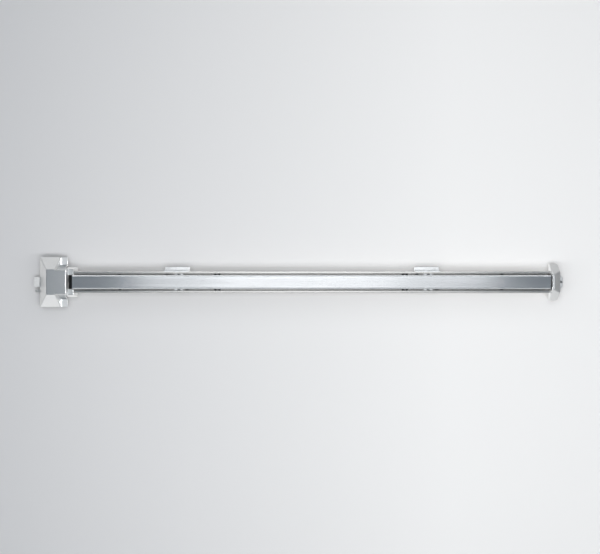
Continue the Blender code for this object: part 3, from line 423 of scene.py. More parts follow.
def finish_material(
    name,
    colour,
    dull,
    metallic,
    roughness,
    grain=(900.0, 900.0, 900.0),
    cloud=(38.0, 38.0, 38.0),
    grain_depth=0.12,
    tint=0.35,
    edge=(0.00030, 0.35),
    anisotropy=0.0,
):
    """A finish with grain along its stretched axis, cloudy wear and edges rubbed brighter.

    roughness is a (smooth, rough) pair, edge the (width, share) of the rubbed edges.
    """
    material, tree, shader, _ = node_material(name)
    place = tree.nodes.new("ShaderNodeTexCoord").outputs["Object"]
    stretched = shade(tree, "Mapping", {"Vector": place, "Scale": grain})
    lines = shade(tree, "TexNoise", {"Vector": stretched, "Scale": 1.0, "Detail": 6.0, "Roughness": 0.62})
    drifted = shade(tree, "Mapping", {"Vector": place, "Scale": cloud})
    clouds = shade(tree, "TexNoise", {"Vector": drifted, "Scale": 1.0, "Detail": 5.0, "Roughness": 0.55})
    pits = shade(tree, "TexNoise", {"Vector": place, "Scale": 2600.0, "Detail": 2.0})
    marks = shade(tree, "TexVoronoi", {"Vector": stretched, "Scale": 0.23}, feature="DISTANCE_TO_EDGE")

    rounded = shade(tree, "Bevel", {"Radius": edge[0]}, samples=6)
    facing = tree.nodes.new("ShaderNodeNewGeometry").outputs["True Normal"]
    bend = tree.nodes.new("ShaderNodeVectorMath")
    bend.operation = "DOT_PRODUCT"
    tree.links.new(rounded, bend.inputs[0])
    tree.links.new(facing, bend.inputs[1])
    corner = remap(tree, bend.outputs["Value"], 0.99, 0.86, 0.0, 1.0)
    patchy = remap(tree, clouds, 0.35, 0.65, 0.4, 1.0)
    rubbed = computed(tree, "MULTIPLY", computed(tree, "MULTIPLY", corner, patchy), edge[1])

    body = mixed_colour(tree, remap(tree, clouds, 0.3, 0.7, 0.0, tint), (*colour, 1), (*dull, 1))
    fine = mixed_colour(tree, remap(tree, lines, 0.35, 0.75, 0.0, tint), body, (*dull, 1))
    bright = tuple(min(1.0, channel * 1.18 + 0.04) for channel in colour)
    worn = mixed_colour(tree, rubbed, fine, (*bright, 1))
    tree.links.new(worn, shader.inputs["Base Color"])

    smooth, rough = roughness
    spread = remap(tree, computed(tree, "ADD", lines, clouds), 0.7, 1.3, smooth, rough)
    polish = computed(tree, "MULTIPLY", rubbed, 0.12)
    tree.links.new(computed(tree, "SUBTRACT", spread, polish), shader.inputs["Roughness"])

    scored = remap(tree, marks, 0.0, 0.05, -0.4, 0.0)
    relief = computed(tree, "ADD", lines, scored)
    relief = computed(tree, "ADD", relief, computed(tree, "MULTIPLY", pits, 0.5))
    bump = shade(
        tree, "Bump", {"Height": relief, "Normal": rounded, "Strength": grain_depth, "Distance": 0.00006}
    )
    tree.links.new(bump, shader.inputs["Normal"])

    shader.inputs["Metallic"].default_value = metallic
    shader.inputs["IOR"].default_value = 1.5
    if anisotropy:
        shader.inputs["Anisotropic"].default_value = anisotropy
        around = shade(tree, "Tangent", {}, direction_type="RADIAL", axis="X")
        tree.links.new(around, shader.inputs["Tangent"])
    return material


ALONG = (14.0, 2600.0, 2600.0)  # brushing or die lines that run along the bar

FINISHES = {
    "cast_silver": finish_material(
        "cast_silver_satin", (0.82, 0.83, 0.83), (0.72, 0.73, 0.74), 0.86, (0.28, 0.38),
        grain=(1100.0, 1100.0, 1100.0), grain_depth=0.16, tint=0.30,
    ),
    "bar_stainless": finish_material(
        "bar_stainless_brushed", (0.86, 0.87, 0.88), (0.76, 0.77, 0.79), 1.0, (0.19, 0.27),
        grain=ALONG, cloud=(1.2, 160.0, 160.0), grain_depth=0.08, tint=0.30, edge=(0.0002, 0.2),
        anisotropy=0.97,
    ),
    "rail_aluminium": finish_material(
        "rail_aluminium_anodised", (0.80, 0.79, 0.77), (0.68, 0.67, 0.65), 0.95, (0.22, 0.32),
        grain=ALONG, cloud=(2.0, 140.0, 140.0), grain_depth=0.12, tint=0.35, anisotropy=0.85,
    ),
    "zinc_plate": finish_material(
        "zinc_plate_passivated", (0.90, 0.91, 0.92), (0.80, 0.81, 0.80), 0.95, (0.15, 0.27),
        grain=(500.0, 500.0, 500.0), grain_depth=0.15, tint=0.5,
    ),
    "latch_steel": finish_material(
        "latch_steel_ground", (0.82, 0.82, 0.81), (0.68, 0.68, 0.67), 0.55, (0.26, 0.40),
        grain=(160.0, 1500.0, 2200.0), grain_depth=0.20, tint=0.4,
    ),
    "spring_steel": finish_material(
        "spring_steel_drawn", (0.50, 0.51, 0.53), (0.26, 0.26, 0.28), 1.0, (0.22, 0.36),
        grain=(2500.0, 2500.0, 2500.0), grain_depth=0.10, tint=0.5,
    ),
    "pin_steel": finish_material(
        "pin_steel_turned", (0.66, 0.67, 0.69), (0.48, 0.49, 0.51), 1.0, (0.18, 0.32),
        grain=(1200.0, 1200.0, 4200.0), grain_depth=0.14, tint=0.4,
    ),
    "screw_steel": finish_material(
        "screw_steel_plated", (0.62, 0.62, 0.62), (0.42, 0.42, 0.42), 1.0, (0.24, 0.42),
        grain=(1800.0, 1800.0, 1800.0), grain_depth=0.14, tint=0.5,
    ),
    "bush_brass": finish_material(
        "bush_brass_turned", (0.78, 0.58, 0.27), (0.55, 0.38, 0.15), 1.0, (0.22, 0.38),
        grain=(1200.0, 1200.0, 4200.0), grain_depth=0.14, tint=0.5,
    ),
    "nylon": finish_material(
        "nylon_moulded", (0.045, 0.046, 0.050), (0.070, 0.071, 0.075), 0.0, (0.42, 0.60),
        grain=(1600.0, 1600.0, 1600.0), grain_depth=0.25, tint=0.6, edge=(0.0002, 0.25),
    ),
    "rubber": finish_material(
        "rubber_moulded", (0.020, 0.020, 0.021), (0.045, 0.044, 0.043), 0.0, (0.66, 0.86),
        grain=(1400.0, 1400.0, 1400.0), grain_depth=0.35, tint=0.6, edge=(0.0002, 0.15),
    ),
}

for node in NODES.values():
    node.data.materials[0] = FINISHES[SLOT_OF[node.name]]

# ---- case ---------------------------------------------------------------------------------------

CASE_LEFT, CASE_RIGHT, CASE_HALF = -0.0255, 0.0176, 0.0486
CASE_WALL, CASE_FRONT, CASE_SKIN = 0.0160, 0.0560, 0.0022
FACE_LEFT, FACE_RIGHT, FACE_HALF = -0.0076, 0.0092, 0.0243
FLANGE_RIGHT, FLANGE_HEIGHT, FLANGE_RISE = 0.0265, 0.0050, 0.0034
NECK_LEFT, NECK_RIGHT_AT_FRONT, NECK_RIGHT_AT_STEP, NECK_STEP = 0.0050, 0.0303, 0.0318, 0.0335
NECK_HALF_AT_FRONT, NECK_TAPER = 0.0225, 0.23


def case_rings(inset, back):
    """Rings of the case: upright walls, then slopes to the front face, all moved in by the inset."""
    slope_x, slope_z = inset * 1.12, inset * 1.24
    radii = (0.0022, 0.0014) if inset == 0 else (0.0006, 0.0006)
    front = CASE_FRONT - inset
    run = (front - CASE_WALL) / (CASE_FRONT - CASE_WALL)
    lean = (CASE_RIGHT - FACE_RIGHT) / CASE_FRONT
    front_left = CASE_LEFT + (FACE_LEFT - CASE_LEFT) * run + slope_x
    front_half = CASE_HALF + (FACE_HALF - CASE_HALF) * run - slope_z
    wall_right = CASE_RIGHT - lean * CASE_WALL - inset
    return [
        rectangle_ring(back, (CASE_LEFT + inset, CASE_RIGHT - inset), CASE_HALF - inset, radii),
        rectangle_ring(CASE_WALL, (CASE_LEFT + slope_x, wall_right), CASE_HALF - slope_z, radii),
        rectangle_ring(front, (front_left, CASE_RIGHT - lean * front - inset), front_half, radii),
    ]


def neck_block(name, depths, left, rights, inset=0.0, soft=0.0):
    """A block of the neck between two depths, with the right edge that it has at each of them."""
    rings = []
    for depth, right in zip(depths, rights):
        half = NECK_HALF_AT_FRONT + (CASE_FRONT - depth) * NECK_TAPER - inset
        rings.append(rectangle_ring(depth, (left, right), half, (0.0010, 0.0012)))
    return lofted(name, rings, soft)


def mechanism_cover():
    """The cast cover of the latch case, hollow, with its flange and the neck over the collar."""
    cover = lofted("mechanism_cover_fine", case_rings(0.0, GAP), 0.0008)
    flange = box(
        "flange", (CASE_RIGHT - 0.004, FLANGE_RIGHT), (GAP, FLANGE_HEIGHT), (-CASE_HALF, CASE_HALF)
    )
    # The flange is a wedge: it rises towards the case.
    for corner in flange.data.vertices:
        if corner.co.x < CASE_RIGHT and corner.co.y < -FLANGE_HEIGHT / 2:
            corner.co.y -= FLANGE_RISE
    # The neck's parts stay a hair off the faces they meet, because a union fails on shared planes.
    hair, hair_in_front = 0.0001, 0.00002
    low_rights = (FLANGE_RIGHT - hair, FLANGE_RIGHT - hair)
    low_neck = neck_block("neck", (GAP, NECK_STEP + 0.0012), NECK_LEFT, low_rights, hair)
    rights = (NECK_RIGHT_AT_STEP, NECK_RIGHT_AT_FRONT)
    high_depths = (NECK_STEP, CASE_FRONT - hair_in_front)
    high_neck = neck_block("bridge", high_depths, NECK_LEFT, rights, soft=0.0010)
    join(cover, flange, low_neck, high_neck)
    skin = CASE_SKIN
    hollow = lofted("hollow", case_rings(skin, -THROUGH))
    inner_left, open_right = NECK_LEFT - 0.003, FLANGE_RIGHT + THROUGH
    low_depths = (-THROUGH, NECK_STEP + 0.0010)
    low_hollow = neck_block("neck_hollow", low_depths, inner_left, (open_right, open_right), skin)
    high_hollow = neck_block(
        "bridge_hollow",
        (NECK_STEP - 0.0007, CASE_FRONT - skin - 0.0002),
        inner_left,
        tuple(right - skin for right in rights),
        skin + 0.0002,
    )
    cut(cover, hollow, low_hollow, high_hollow)
    for node in ("latch_bolt", "auxiliary_bolt"):
        low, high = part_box(node)
        wall = (CASE_LEFT - 0.002, CASE_LEFT + 0.005)
        cut(cover, box("window", wall, (-high.y - PLAY, -low.y + PLAY), (low.z - PLAY, high.z + PLAY)))
    for end, way in (("top", 1), ("bottom", -1)):
        low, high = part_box("cover_screw_" + end)
        place = ((low.x + high.x) / 2, (low.y + high.y) / 2, way * CASE_HALF)
        cut(cover, cylinder("screw_hole", 0.0017, "Z", place, 0.012))
        cut(cover, cylinder("screw_recess", 0.0030, "Z", place, 0.0028))
    return finish(cover, "mechanism_cover")


def rail_collar():
    """The casting between the case and the rail; the bar sinks into its slot."""
    left, right, front_right = 0.0268, 0.0470, 0.0415
    front, half, front_half, skin = 0.0320, 0.0290, 0.0255, 0.0020
    radii, inner_radii = (0.0010, 0.0026), (0.0004, 0.0010)
    outer = [
        rectangle_ring(GAP, (left, right), half, radii),
        rectangle_ring(front, (left, front_right), front_half, radii),
    ]
    inner_left, beyond = left - 0.002, 0.060
    inner = [
        rectangle_ring(-THROUGH, (inner_left, right - skin), half - skin, inner_radii),
        rectangle_ring(front - skin, (inner_left, front_right - skin), front_half - skin, inner_radii),
    ]
    collar = lofted("rail_collar_fine", outer, 0.0006)
    rail_low, rail_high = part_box("base_rail")
    reach = rail_high.z + PLAY
    slot = box("slot", (0.0290, beyond), (0.010, front + THROUGH), (-0.0141, 0.0141))
    opening = box("opening", (0.0380, beyond), (-THROUGH, -rail_low.y + PLAY), (-reach, reach))
    cut(collar, lofted("collar_hollow", inner), slot, opening)
    return finish(collar, "rail_collar")


def slot_shield():
    """A thin dark nylon sheet behind the collar's slot that stands in for the shade down the slot, dished
    so that a low rim stands around it.
    """
    left, right, half, radii = 0.0304, 0.0398, 0.0136, (0.0012, 0.0012)
    draft, rim = 0.0002, 0.0010
    rings = [
        rectangle_ring(0.0141, (left, right), half, radii),
        rectangle_ring(0.0150, (left + draft, right - draft), half - draft, radii),
    ]
    # This dark sheet is painted shade: it darkens the slot, where the real device has only shadow.
    shade_sheet = lofted("slot_shield", rings)
    cut(shade_sheet, box("dish", (left + rim, right - rim), (0.0146, 0.0160), (rim - half, half - rim)))
    shade_sheet.data.materials.append(FINISHES["nylon"])
    shade_sheet.data.shade_smooth()
    shade_sheet.data.set_sharp_from_angle(angle=math.radians(32))
    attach(shade_sheet, "frame")
    return shade_sheet


# ---- latch and guarding bolt --------------------------------------------------------------------

LATCH_NEAR, LATCH_FAR, LATCH_TIP, LATCH_SHOULDER, LATCH_REAR = 0.0044, 0.0148, -0.0393, -0.0270, 0.0060
TONGUE_NEAR, TONGUE_FAR, TONGUE_TOP = 0.0059, 0.0089, 0.0090
SPRING_Z, BORE_RADIUS, BORE_LENGTH = -0.0051, 0.0034, 0.024


def latch_bolt():
    """A bolt with a sloped nose, a bore for its spring and a slotted tongue for the rod's pin."""
    low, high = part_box("latch_bolt")
    side = filleted(
        [
            (LATCH_REAR, LATCH_NEAR, 0.0004),
            (LATCH_REAR, LATCH_FAR, 0.0004),
            (LATCH_SHOULDER, LATCH_FAR, 0.0022),
            (LATCH_TIP, LATCH_NEAR + 0.0030, 0.0012),
            (LATCH_TIP, LATCH_NEAR, 0.0006),
        ]
    )
    latch = extruded("latch_bolt_fine", side, "Z", (low.z, high.z), soft=0.0004)
    tongue_x = (LATCH_REAR - 0.004, high.x)
    join(latch, box("tongue", tongue_x, (TONGUE_NEAR, TONGUE_FAR), (0.0, TONGUE_TOP), 0.0003))
    middle = -(LATCH_NEAR + LATCH_FAR) / 2
    bore = cylinder("bore", BORE_RADIUS, "X", (-0.002, middle, SPRING_Z), BORE_LENGTH)
    countersink = cylinder("countersink", BORE_RADIUS + 0.0003, "X", (LATCH_REAR, middle, SPRING_Z), 0.0008)
    pin_low, pin_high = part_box("rod_pin")
    end = (pin_low.x + pin_high.x) / 2
    slot_z, slot_length, slot_half = TONGUE_TOP / 2, 0.0150, 0.0028
    path = arm_outline((end - slot_length, slot_z), (end, slot_z), slot_half)
    slot = extruded("slot", path, "Y", (TONGUE_NEAR - THROUGH, TONGUE_FAR + THROUGH))
    cut(latch, bore, countersink, slot)
    return finish(latch, "latch_bolt")


def auxiliary_bolt():
    """The small bolt below the latch, its nose sloped the same way."""
    low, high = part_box("auxiliary_bolt")
    near, far = -high.y, -low.y
    side = filleted(
        [
            (high.x, near, 0.0004),
            (high.x, far, 0.0004),
            (low.x + 0.0050, far, 0.0014),
            (low.x, near + 0.0030, 0.0010),
            (low.x, near, 0.0005),
        ]
    )
    bolt = extruded("auxiliary_bolt_fine", side, "Z", (low.z, high.z), soft=0.0004)
    return finish(bolt, "auxiliary_bolt")


def spring(node, wire, turns):
    """A coiled spring that fills its CAD node's box."""
    low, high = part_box(node)
    coil = finish(spring_mesh(node + "_fine", low, high, wire, turns), node, crease=60.0)
    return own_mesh(coil)


def springs():
    """Every spring. The numbers are its wire's radius and its count of turns."""
    spring("latch_spring", 0.00035, 11)
    spring("auxiliary_spring", 0.0003, 8)
    for side in ("left", "right"):
        spring("return_spring_" + side, 0.00045, 13)


# ---- rail and push bar --------------------------------------------------------------------------

RAIL_BACK, RAIL_FRONT, RAIL_HALF, RAIL_WALL, LIP_INNER = 0.0028, 0.0280, 0.0212, 0.0018, 0.0166
RAIL_HOLES = {"rail_screw_": 0.0022, "rivet_": 0.0019, "rod_guide_screw_": 0.0017}  # radii


def base_rail():
    """An extruded channel with rounded corners and lips turned in at the front."""
    back, front, half, wall = RAIL_BACK, RAIL_FRONT, RAIL_HALF, RAIL_WALL
    upper = [
        (back, -half, 0.0010),
        (front, -half, 0.0010),
        (front, -LIP_INNER, 0.0006),
        (front - wall, -LIP_INNER, 0.0004),
        (front - wall, wall - half, 0.0006),
        (back + wall, wall - half, 0.0006),
    ]
    lower = [(depth, -z, radius) for depth, z, radius in upper[::-1]]
    low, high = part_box("base_rail")
    section = filleted(upper + lower, 5)
    rail = extruded("base_rail_fine", section, "X", (low.x, high.x), soft=0.0002, limit=40)
    floor = -(back + wall / 2)
    holes = []
    for node in NODES:
        for start, radius in RAIL_HOLES.items():
            if node.startswith(start):
                low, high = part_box(node)
                middle = ((low.x + high.x) / 2, floor, (low.z + high.z) / 2)
                holes.append(cylinder("drill_" + node, radius, "Y", middle, 3 * wall, 24))
    cut(rail, *holes)
    return finish(rail, "base_rail")


BAR_FRONT, BAR_REAR, BAR_HALF, BAR_WALL, BAR_ROLL = 0.0530, 0.0280, 0.0135, 0.0015, 0.0030


def bar_outline(inset, rear=BAR_REAR, rear_radius=0.0003):
    """The bar's outer section, or its inner one moved in by the wall, with rolled front corners."""
    half, front = BAR_HALF - inset, BAR_FRONT - inset
    side = [(rear, -half, rear_radius), (front, -half, BAR_ROLL - inset)]
    return side + [(depth, -z, radius) for depth, z, radius in side[::-1]]


def push_bar():
    """A channel rolled from sheet, open towards the door."""
    low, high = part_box("push_bar")
    section = filleted(bar_outline(0.0) + bar_outline(BAR_WALL)[::-1], 8)
    bar = extruded("push_bar_fine", section, "X", (low.x, high.x), soft=0.00015, limit=50)
    return finish(bar, "push_bar", crease=40.0)


def bar_plug(side, inward):
    """A moulded plug with a flange as large as the bar's section and two pockets beside its rib."""
    low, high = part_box("bar_plug_" + side)
    thick, floor = 0.0014, 0.0030
    if inward > 0:
        flange, body = (low.x, low.x + thick), (low.x + thick / 2, high.x)
        pocket = (body[0] + floor, body[1] + THROUGH)
    else:
        flange, body = (high.x - thick, high.x), (low.x, high.x - thick / 2)
        pocket = (body[0] - THROUGH, body[1] - floor)
    rim = filleted(bar_outline(0.0, BAR_REAR, 0.0008))
    plug = extruded(f"bar_plug_{side}_fine", rim, "X", flange, soft=0.0002, limit=40)
    inner = filleted(bar_outline(BAR_WALL + 0.0002, BAR_REAR + 0.0010))
    join(plug, extruded("plug_body", inner, "X", body))
    near, far, rib_half, side_half = 0.0310, 0.0490, 0.0008, 0.0095
    upper = box("pocket", pocket, (near, far), (rib_half, side_half))
    lower = box("pocket", pocket, (near, far), (-side_half, -rib_half))
    cut(plug, upper, lower)
    return finish(plug, "bar_plug_" + side)


def rail_bracket(side):
    """A folded door plate whose hook grips the rail's top lip."""
    low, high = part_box("rail_bracket_" + side)
    middle, top, door_hole, door_hole_x = (low.x + high.x) / 2, 0.0297, 0.0026, 0.0185
    corners = [(low.x, low.z), (high.x, low.z), (high.x, top), (low.x, top)]
    outline = filleted([(x, z, 0.0015) for x, z in corners])
    holes = [circle(middle + dx, 0.0, door_hole) for dx in (-door_hole_x, door_hole_x)]
    for place in ("upper", "lower"):
        screw_low, screw_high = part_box(f"rail_screw_{side}_{place}")
        centre = (screw_low + screw_high) / 2
        holes.append(circle(centre.x, centre.z, RAIL_HOLES["rail_screw_"]))
    name = f"rail_bracket_{side}_fine"
    bracket = extruded(name, outline, "Y", (0.0, 0.0025), holes, soft=0.0003, limit=40)
    sheet, lip, leg, front = 0.0020, 0.0022, RAIL_HALF + PLAY, RAIL_FRONT + PLAY
    hook = [
        (0.0012, -leg, 0.0),
        (front, -leg, 0.0003),
        (front, lip - leg, 0.0002),
        (front + sheet, lip - leg, 0.0006),
        (front + sheet, -leg - sheet, 0.0012),
        (0.0012, -leg - sheet, 0.0),
    ]
    span = (low.x + 0.0001, high.x - 0.0001)
    join(bracket, extruded("hook", filleted(hook, 5), "X", span, soft=0.0003, limit=40))
    return finish(bracket, "rail_bracket_" + side)


# ---- end cap ------------------------------------------------------------------------------------

CAP_LEFT, CAP_RIGHT, CAP_HALF, CAP_FRONT, CAP_SKIN = 0.9725, 0.9900, 0.0354, 0.0570, 0.0020
LOBE_OUTER, LOBE_FRONT, LOBE_HALF, LOBE_TIP_HALF = 0.9960, 0.0300, 0.0140, 0.0090
# (depth, right edge, half height) of the cap's outline from the door to its front
CAP_STEPS = (
    (GAP, CAP_RIGHT, CAP_HALF),
    (0.0080, CAP_RIGHT, CAP_HALF),
    (0.0406, CAP_RIGHT - 0.0002, 0.0216),
    (0.0500, 0.9817, 0.0176),
    (CAP_FRONT, 0.9775, 0.0154),
)


def end_cap():
    """The hollow cast cap that tapers to a ridge, with a lobe for its screw."""
    outer = [rectangle_ring(d, (CAP_LEFT, right), half, (0.0010, 0.0036)) for d, right, half in CAP_STEPS]
    skin = CAP_SKIN
    inner = []
    for depth, right, half in CAP_STEPS:
        inner_depth = min(depth, CAP_FRONT - skin) if depth > GAP else -THROUGH
        x = (CAP_LEFT + skin, right - skin)
        inner.append(rectangle_ring(inner_depth, x, half - skin * 1.08, (0.0006, 0.0018)))
    cap = lofted("end_cap_fine", outer, 0.0006, 16.0)
    cut(cap, lofted("cap_hollow", inner))
    lobe_root, lobe_shoulder = LOBE_OUTER - 0.0130, LOBE_OUTER - 0.0050
    lobe = [
        (lobe_root, -LOBE_HALF, 0.0),
        (lobe_shoulder, -LOBE_HALF, 0.0012),
        (LOBE_OUTER, -LOBE_TIP_HALF, 0.0016),
        (LOBE_OUTER, LOBE_TIP_HALF, 0.0016),
        (lobe_shoulder, LOBE_HALF, 0.0012),
        (lobe_root, LOBE_HALF, 0.0),
    ]
    join(cap, extruded("lobe", filleted(lobe), "Y", (RAIL_BACK, LOBE_FRONT), soft=0.0005, limit=35))
    rail_low, rail_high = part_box("base_rail")
    reach = rail_high.z + PLAY
    rail_x = (CAP_LEFT - THROUGH, rail_high.x + 0.0006)
    opening = box("opening", rail_x, (-THROUGH, -rail_low.y + PLAY), (-reach, reach))
    low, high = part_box("end_cap_screw")
    x = (low.x + high.x) / 2
    hole = cylinder("hole", 0.0015, "Y", (x, -LOBE_FRONT / 2, 0), 0.060)
    recess = cylinder("recess", 0.0024, "Y", (x, -LOBE_FRONT - 0.005, 0), 0.016)
    under_half = LOBE_HALF + 0.0005
    under = box("underside", (0.9700, 1.0000), (-0.002, RAIL_BACK), (-under_half, under_half))
    cut(cap, opening, hole, recess, under)
    return finish(cap, "end_cap")


# ---- screws, pins and small parts ---------------------------------------------------------------


def axis_frame(node, axis):
    """(middle of the top, length, radius) of a round CAD node whose top points along an axis."""
    low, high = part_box(node)
    middle = (low + high) / 2
    if axis == "-Y":
        return Vector((middle.x, low.y, middle.z)), high.y - low.y, (high.x - low.x) / 2
    top = high.z if axis == "Z" else low.z
    return Vector((middle.x, middle.y, top)), high.z - low.z, (high.x - low.x) / 2


def cross_driver(radius, head, matrix):
    """The tapered cross that a driver leaves in a screw's head."""
    arm, half = radius * 0.58, radius * 0.15
    corners = [(half, half), (half, arm), (-half, arm), (-half, half), (-arm, half), (-arm, -half)]
    corners += [(-x, -y) for x, y in corners]
    shape = bmesh.new()
    rings = []
    for height, scale in ((-head * 0.7, 0.72), (head * 0.5, 1.12)):
        rings.append([shape.verts.new((x * scale, y * scale, height)) for x, y in corners])
    lower, upper = rings
    for i in range(len(corners)):
        j = (i + 1) % len(corners)
        shape.faces.new((lower[i], lower[j], upper[j], upper[i]))
    shape.faces.new(lower)
    shape.faces.new(upper)
    bmesh.ops.recalc_face_normals(shape, faces=shape.faces)
    return from_bmesh("driver", shape, matrix @ Matrix.Rotation(0.4, 4, "Z"))


def fine_screw(node, axis, head, shank, cross=True):
    """A domed screw or rivet: a head of that height, a threaded shank, and a cross recess if it has one."""
    top, length, radius = axis_frame(node, axis)
    profile = [(0.0, 0.0)]
    for share in (0.25, 0.45, 0.62, 0.77, 0.89, 0.97):
        profile.append((radius * share, -head * 0.75 * (1 - math.sqrt(1 - share * share))))
    profile += [(radius, -head * 0.72), (radius, -head + 0.0001), (radius - 0.0001, -head), (shank, -head)]
    if cross:
        pitch = 0.0006
        height = -head - pitch
        while height > -length + 2 * pitch:
            profile += [(shank, height), (shank * 0.82, height - pitch / 2)]
            height -= pitch
    profile += [(shank, -length + 0.0004), (shank * 0.75, -length), (0.0, -length)]
    screw = turned(node + "_fine", profile, axis, top)
    if cross:
        cut(screw, cross_driver(radius, head, Matrix.Translation(top) @ AXIS_TURNS[axis]))
    return finish(screw, node, crease=30.0)


def pin(node, profile, axis, crease=30.0):
    """A turned piece whose profile is worked out from its CAD node's length and radius."""
    top, length, radius = axis_frame(node, axis)
    return finish(turned(node + "_fine", profile(length, radius), axis, top), node, crease=crease)


def pivot_profile(length, radius):
    """A pin with a flat head."""
    shank, head = 0.0026, 0.0011
    return [
        (0.0, 0.0), (radius - 0.0004, 0.0), (radius, -0.0003), (radius, 0.0002 - head),
        (radius - 0.0002, -head), (shank, -head), (shank, -length + 0.0005),
        (shank - 0.0005, -length), (0.0, -length),
    ]


def plain_profile(length, radius):
    """A pin without a head, its ends chamfered."""
    return [
        (0.0, 0.0), (radius - 0.0004, 0.0), (radius, -0.0004),
        (radius, -length + 0.0004), (radius - 0.0004, -length), (0.0, -length),
    ]


def rod_pin_profile(length, radius):
    """Head, neck through the rod, then the part that runs in the latch's tongue."""
    head, neck, neck_end, shank = 0.0010, 0.0020, 0.0045, 0.0025
    return [
        (0.0, 0.0), (radius - 0.0005, 0.0), (radius, -0.0004), (radius, -head),
        (neck, -head), (neck, -neck_end), (shank, -neck_end), (shank, -length + 0.0004),
        (shank - 0.0004, -length), (0.0, -length),
    ]


def bush_profile(length, radius):
    """A sleeve with chamfered rims, from its bore outwards and back."""
    bore = 0.00268
    return [
        (bore + 0.0002, 0.0), (radius - 0.0002, 0.0), (radius, -0.0002), (radius, -length + 0.0002),
        (radius - 0.0002, -length), (bore + 0.0002, -length), (bore, -length + 0.0002), (bore, -0.0002),
    ]


def bumper_profile(length, radius):
    """A turned pad with round shoulders, a waist and a dimple."""
    return [
        (0.0, -0.0006), (radius * 0.30, -0.0005), (radius * 0.42, -0.0001), (radius * 0.55, 0.0),
        (radius * 0.80, -0.0001), (radius * 0.94, -0.0005), (radius, -0.0011),
        (radius, -length * 0.40), (radius * 0.90, -length * 0.48), (radius * 0.90, -length * 0.56),
        (radius, -length * 0.64), (radius, -length + 0.0003), (radius - 0.0003, -length), (0.0, -length),
    ]


def pin_clip(side):
    """An open spring clip that snaps on the plain end of the pivot pin."""
    node = "pin_clip_" + side
    low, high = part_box(node)
    pin_low, pin_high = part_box("pivot_pin_" + side)
    middle = (pin_low + pin_high) / 2
    outer, inner, relief, mouth, steps = (high.x - low.x) / 2, 0.0027, 0.0006, math.radians(34), 40
    upwards, around = math.pi / 2, 2 * math.pi
    outline = []
    for k in range(steps + 1):
        angle = upwards + mouth * 0.62 + (around - mouth * 1.24) * k / steps
        outline.append((middle.x + outer * math.cos(angle), -middle.y + outer * math.sin(angle)))
    for k in range(steps + 1):
        angle = upwards - mouth + around - (around - 2 * mouth) * k / steps
        # The clip's inner side touches the pin with three pads and is relieved between them.
        relieved = abs(math.sin(1.5 * (angle - upwards))) < 0.55
        reach = inner + relief if relieved else inner
        outline.append((middle.x + reach * math.cos(angle), -middle.y + reach * math.sin(angle)))
    clip = extruded(node + "_fine", outline, "Z", (low.z, high.z))
    return finish(clip, node)


def small_parts():
    """Every screw, rivet, pin, bush, clip and bumper. A screw's numbers are its head's height and shank."""
    for end, axis in (("top", "Z"), ("bottom", "-Z")):
        fine_screw("cover_screw_" + end, axis, 0.0011, 0.0015)
        fine_screw("guide_screw_" + end, "-Y", 0.0018, 0.0015)
    fine_screw("end_cap_screw", "-Y", 0.0020, 0.0013)
    for side in ("left", "right"):
        for place in ("upper", "lower"):
            fine_screw(f"rail_screw_{side}_{place}", "-Y", 0.0020, 0.0020)
            fine_screw(f"rod_guide_screw_{side}_{place}", "-Y", 0.0016, 0.0015)
            fine_screw(f"rivet_{side}_{place}", "-Y", 0.0014, 0.0017, cross=False)
            pin(f"bumper_{side}_{place}", bumper_profile, "-Y", 50.0)
        pin("pivot_pin_" + side, pivot_profile, "Z")
        pin("link_pin_" + side, plain_profile, "Z")
        pin("crank_bush_" + side, bush_profile, "Z")
        pin_clip(side)
    pin("rod_pin", rod_pin_profile, "-Y")


def linkage():
    """The plates and castings of the mechanism, their edges broken."""
    softness = {
        "chassis_plate": 0.0003,
        "latch_guide": 0.0004,
        "spring_stop": 0.0002,
        "end_bracket": 0.0003,
        "actuator_rod": 0.0003,
    }
    for side in ("left", "right"):
        softness["crank_bracket_" + side] = 0.0001
        softness["bell_crank_" + side] = 0.00025
        softness["rod_guide_" + side] = 0.0002
        softness["bar_lug_" + side] = 0.00015
    for node, soft in softness.items():
        finish(refined(node, soft), node)


# ---- camera, floor, backdrop and light ----------------------------------------------------------


CAMERA_DISTANCE, CAMERA_HEIGHT, CAMERA_LENS = 3.3, 0.0098, 100.6
WALL_DEPTH, FLOOR_HEIGHT = 0.004, -0.90


def add_camera():
    """A long lens square to the door, level with the bar."""
    data = bpy.data.cameras.new("camera")
    data.sensor_width = 36.0
    data.lens = CAMERA_LENS
    data.dof.use_dof = False
    camera = bpy.data.objects.new("camera", data)
    bpy.context.scene.collection.objects.link(camera)
    camera.location = (MIDDLE_X, -CAMERA_DISTANCE, CAMERA_HEIGHT)
    camera.rotation_euler = (math.radians(90), 0.0, 0.0)
    bpy.context.scene.camera = camera


def plane(name, width, height, matrix):
    shape = bmesh.new()
    bmesh.ops.create_grid(shape, x_segments=1, y_segments=1, size=0.5)
    bmesh.ops.scale(shape, vec=Vector((width, height, 1.0)), verts=shape.verts)
    return from_bmesh(name, shape, matrix)


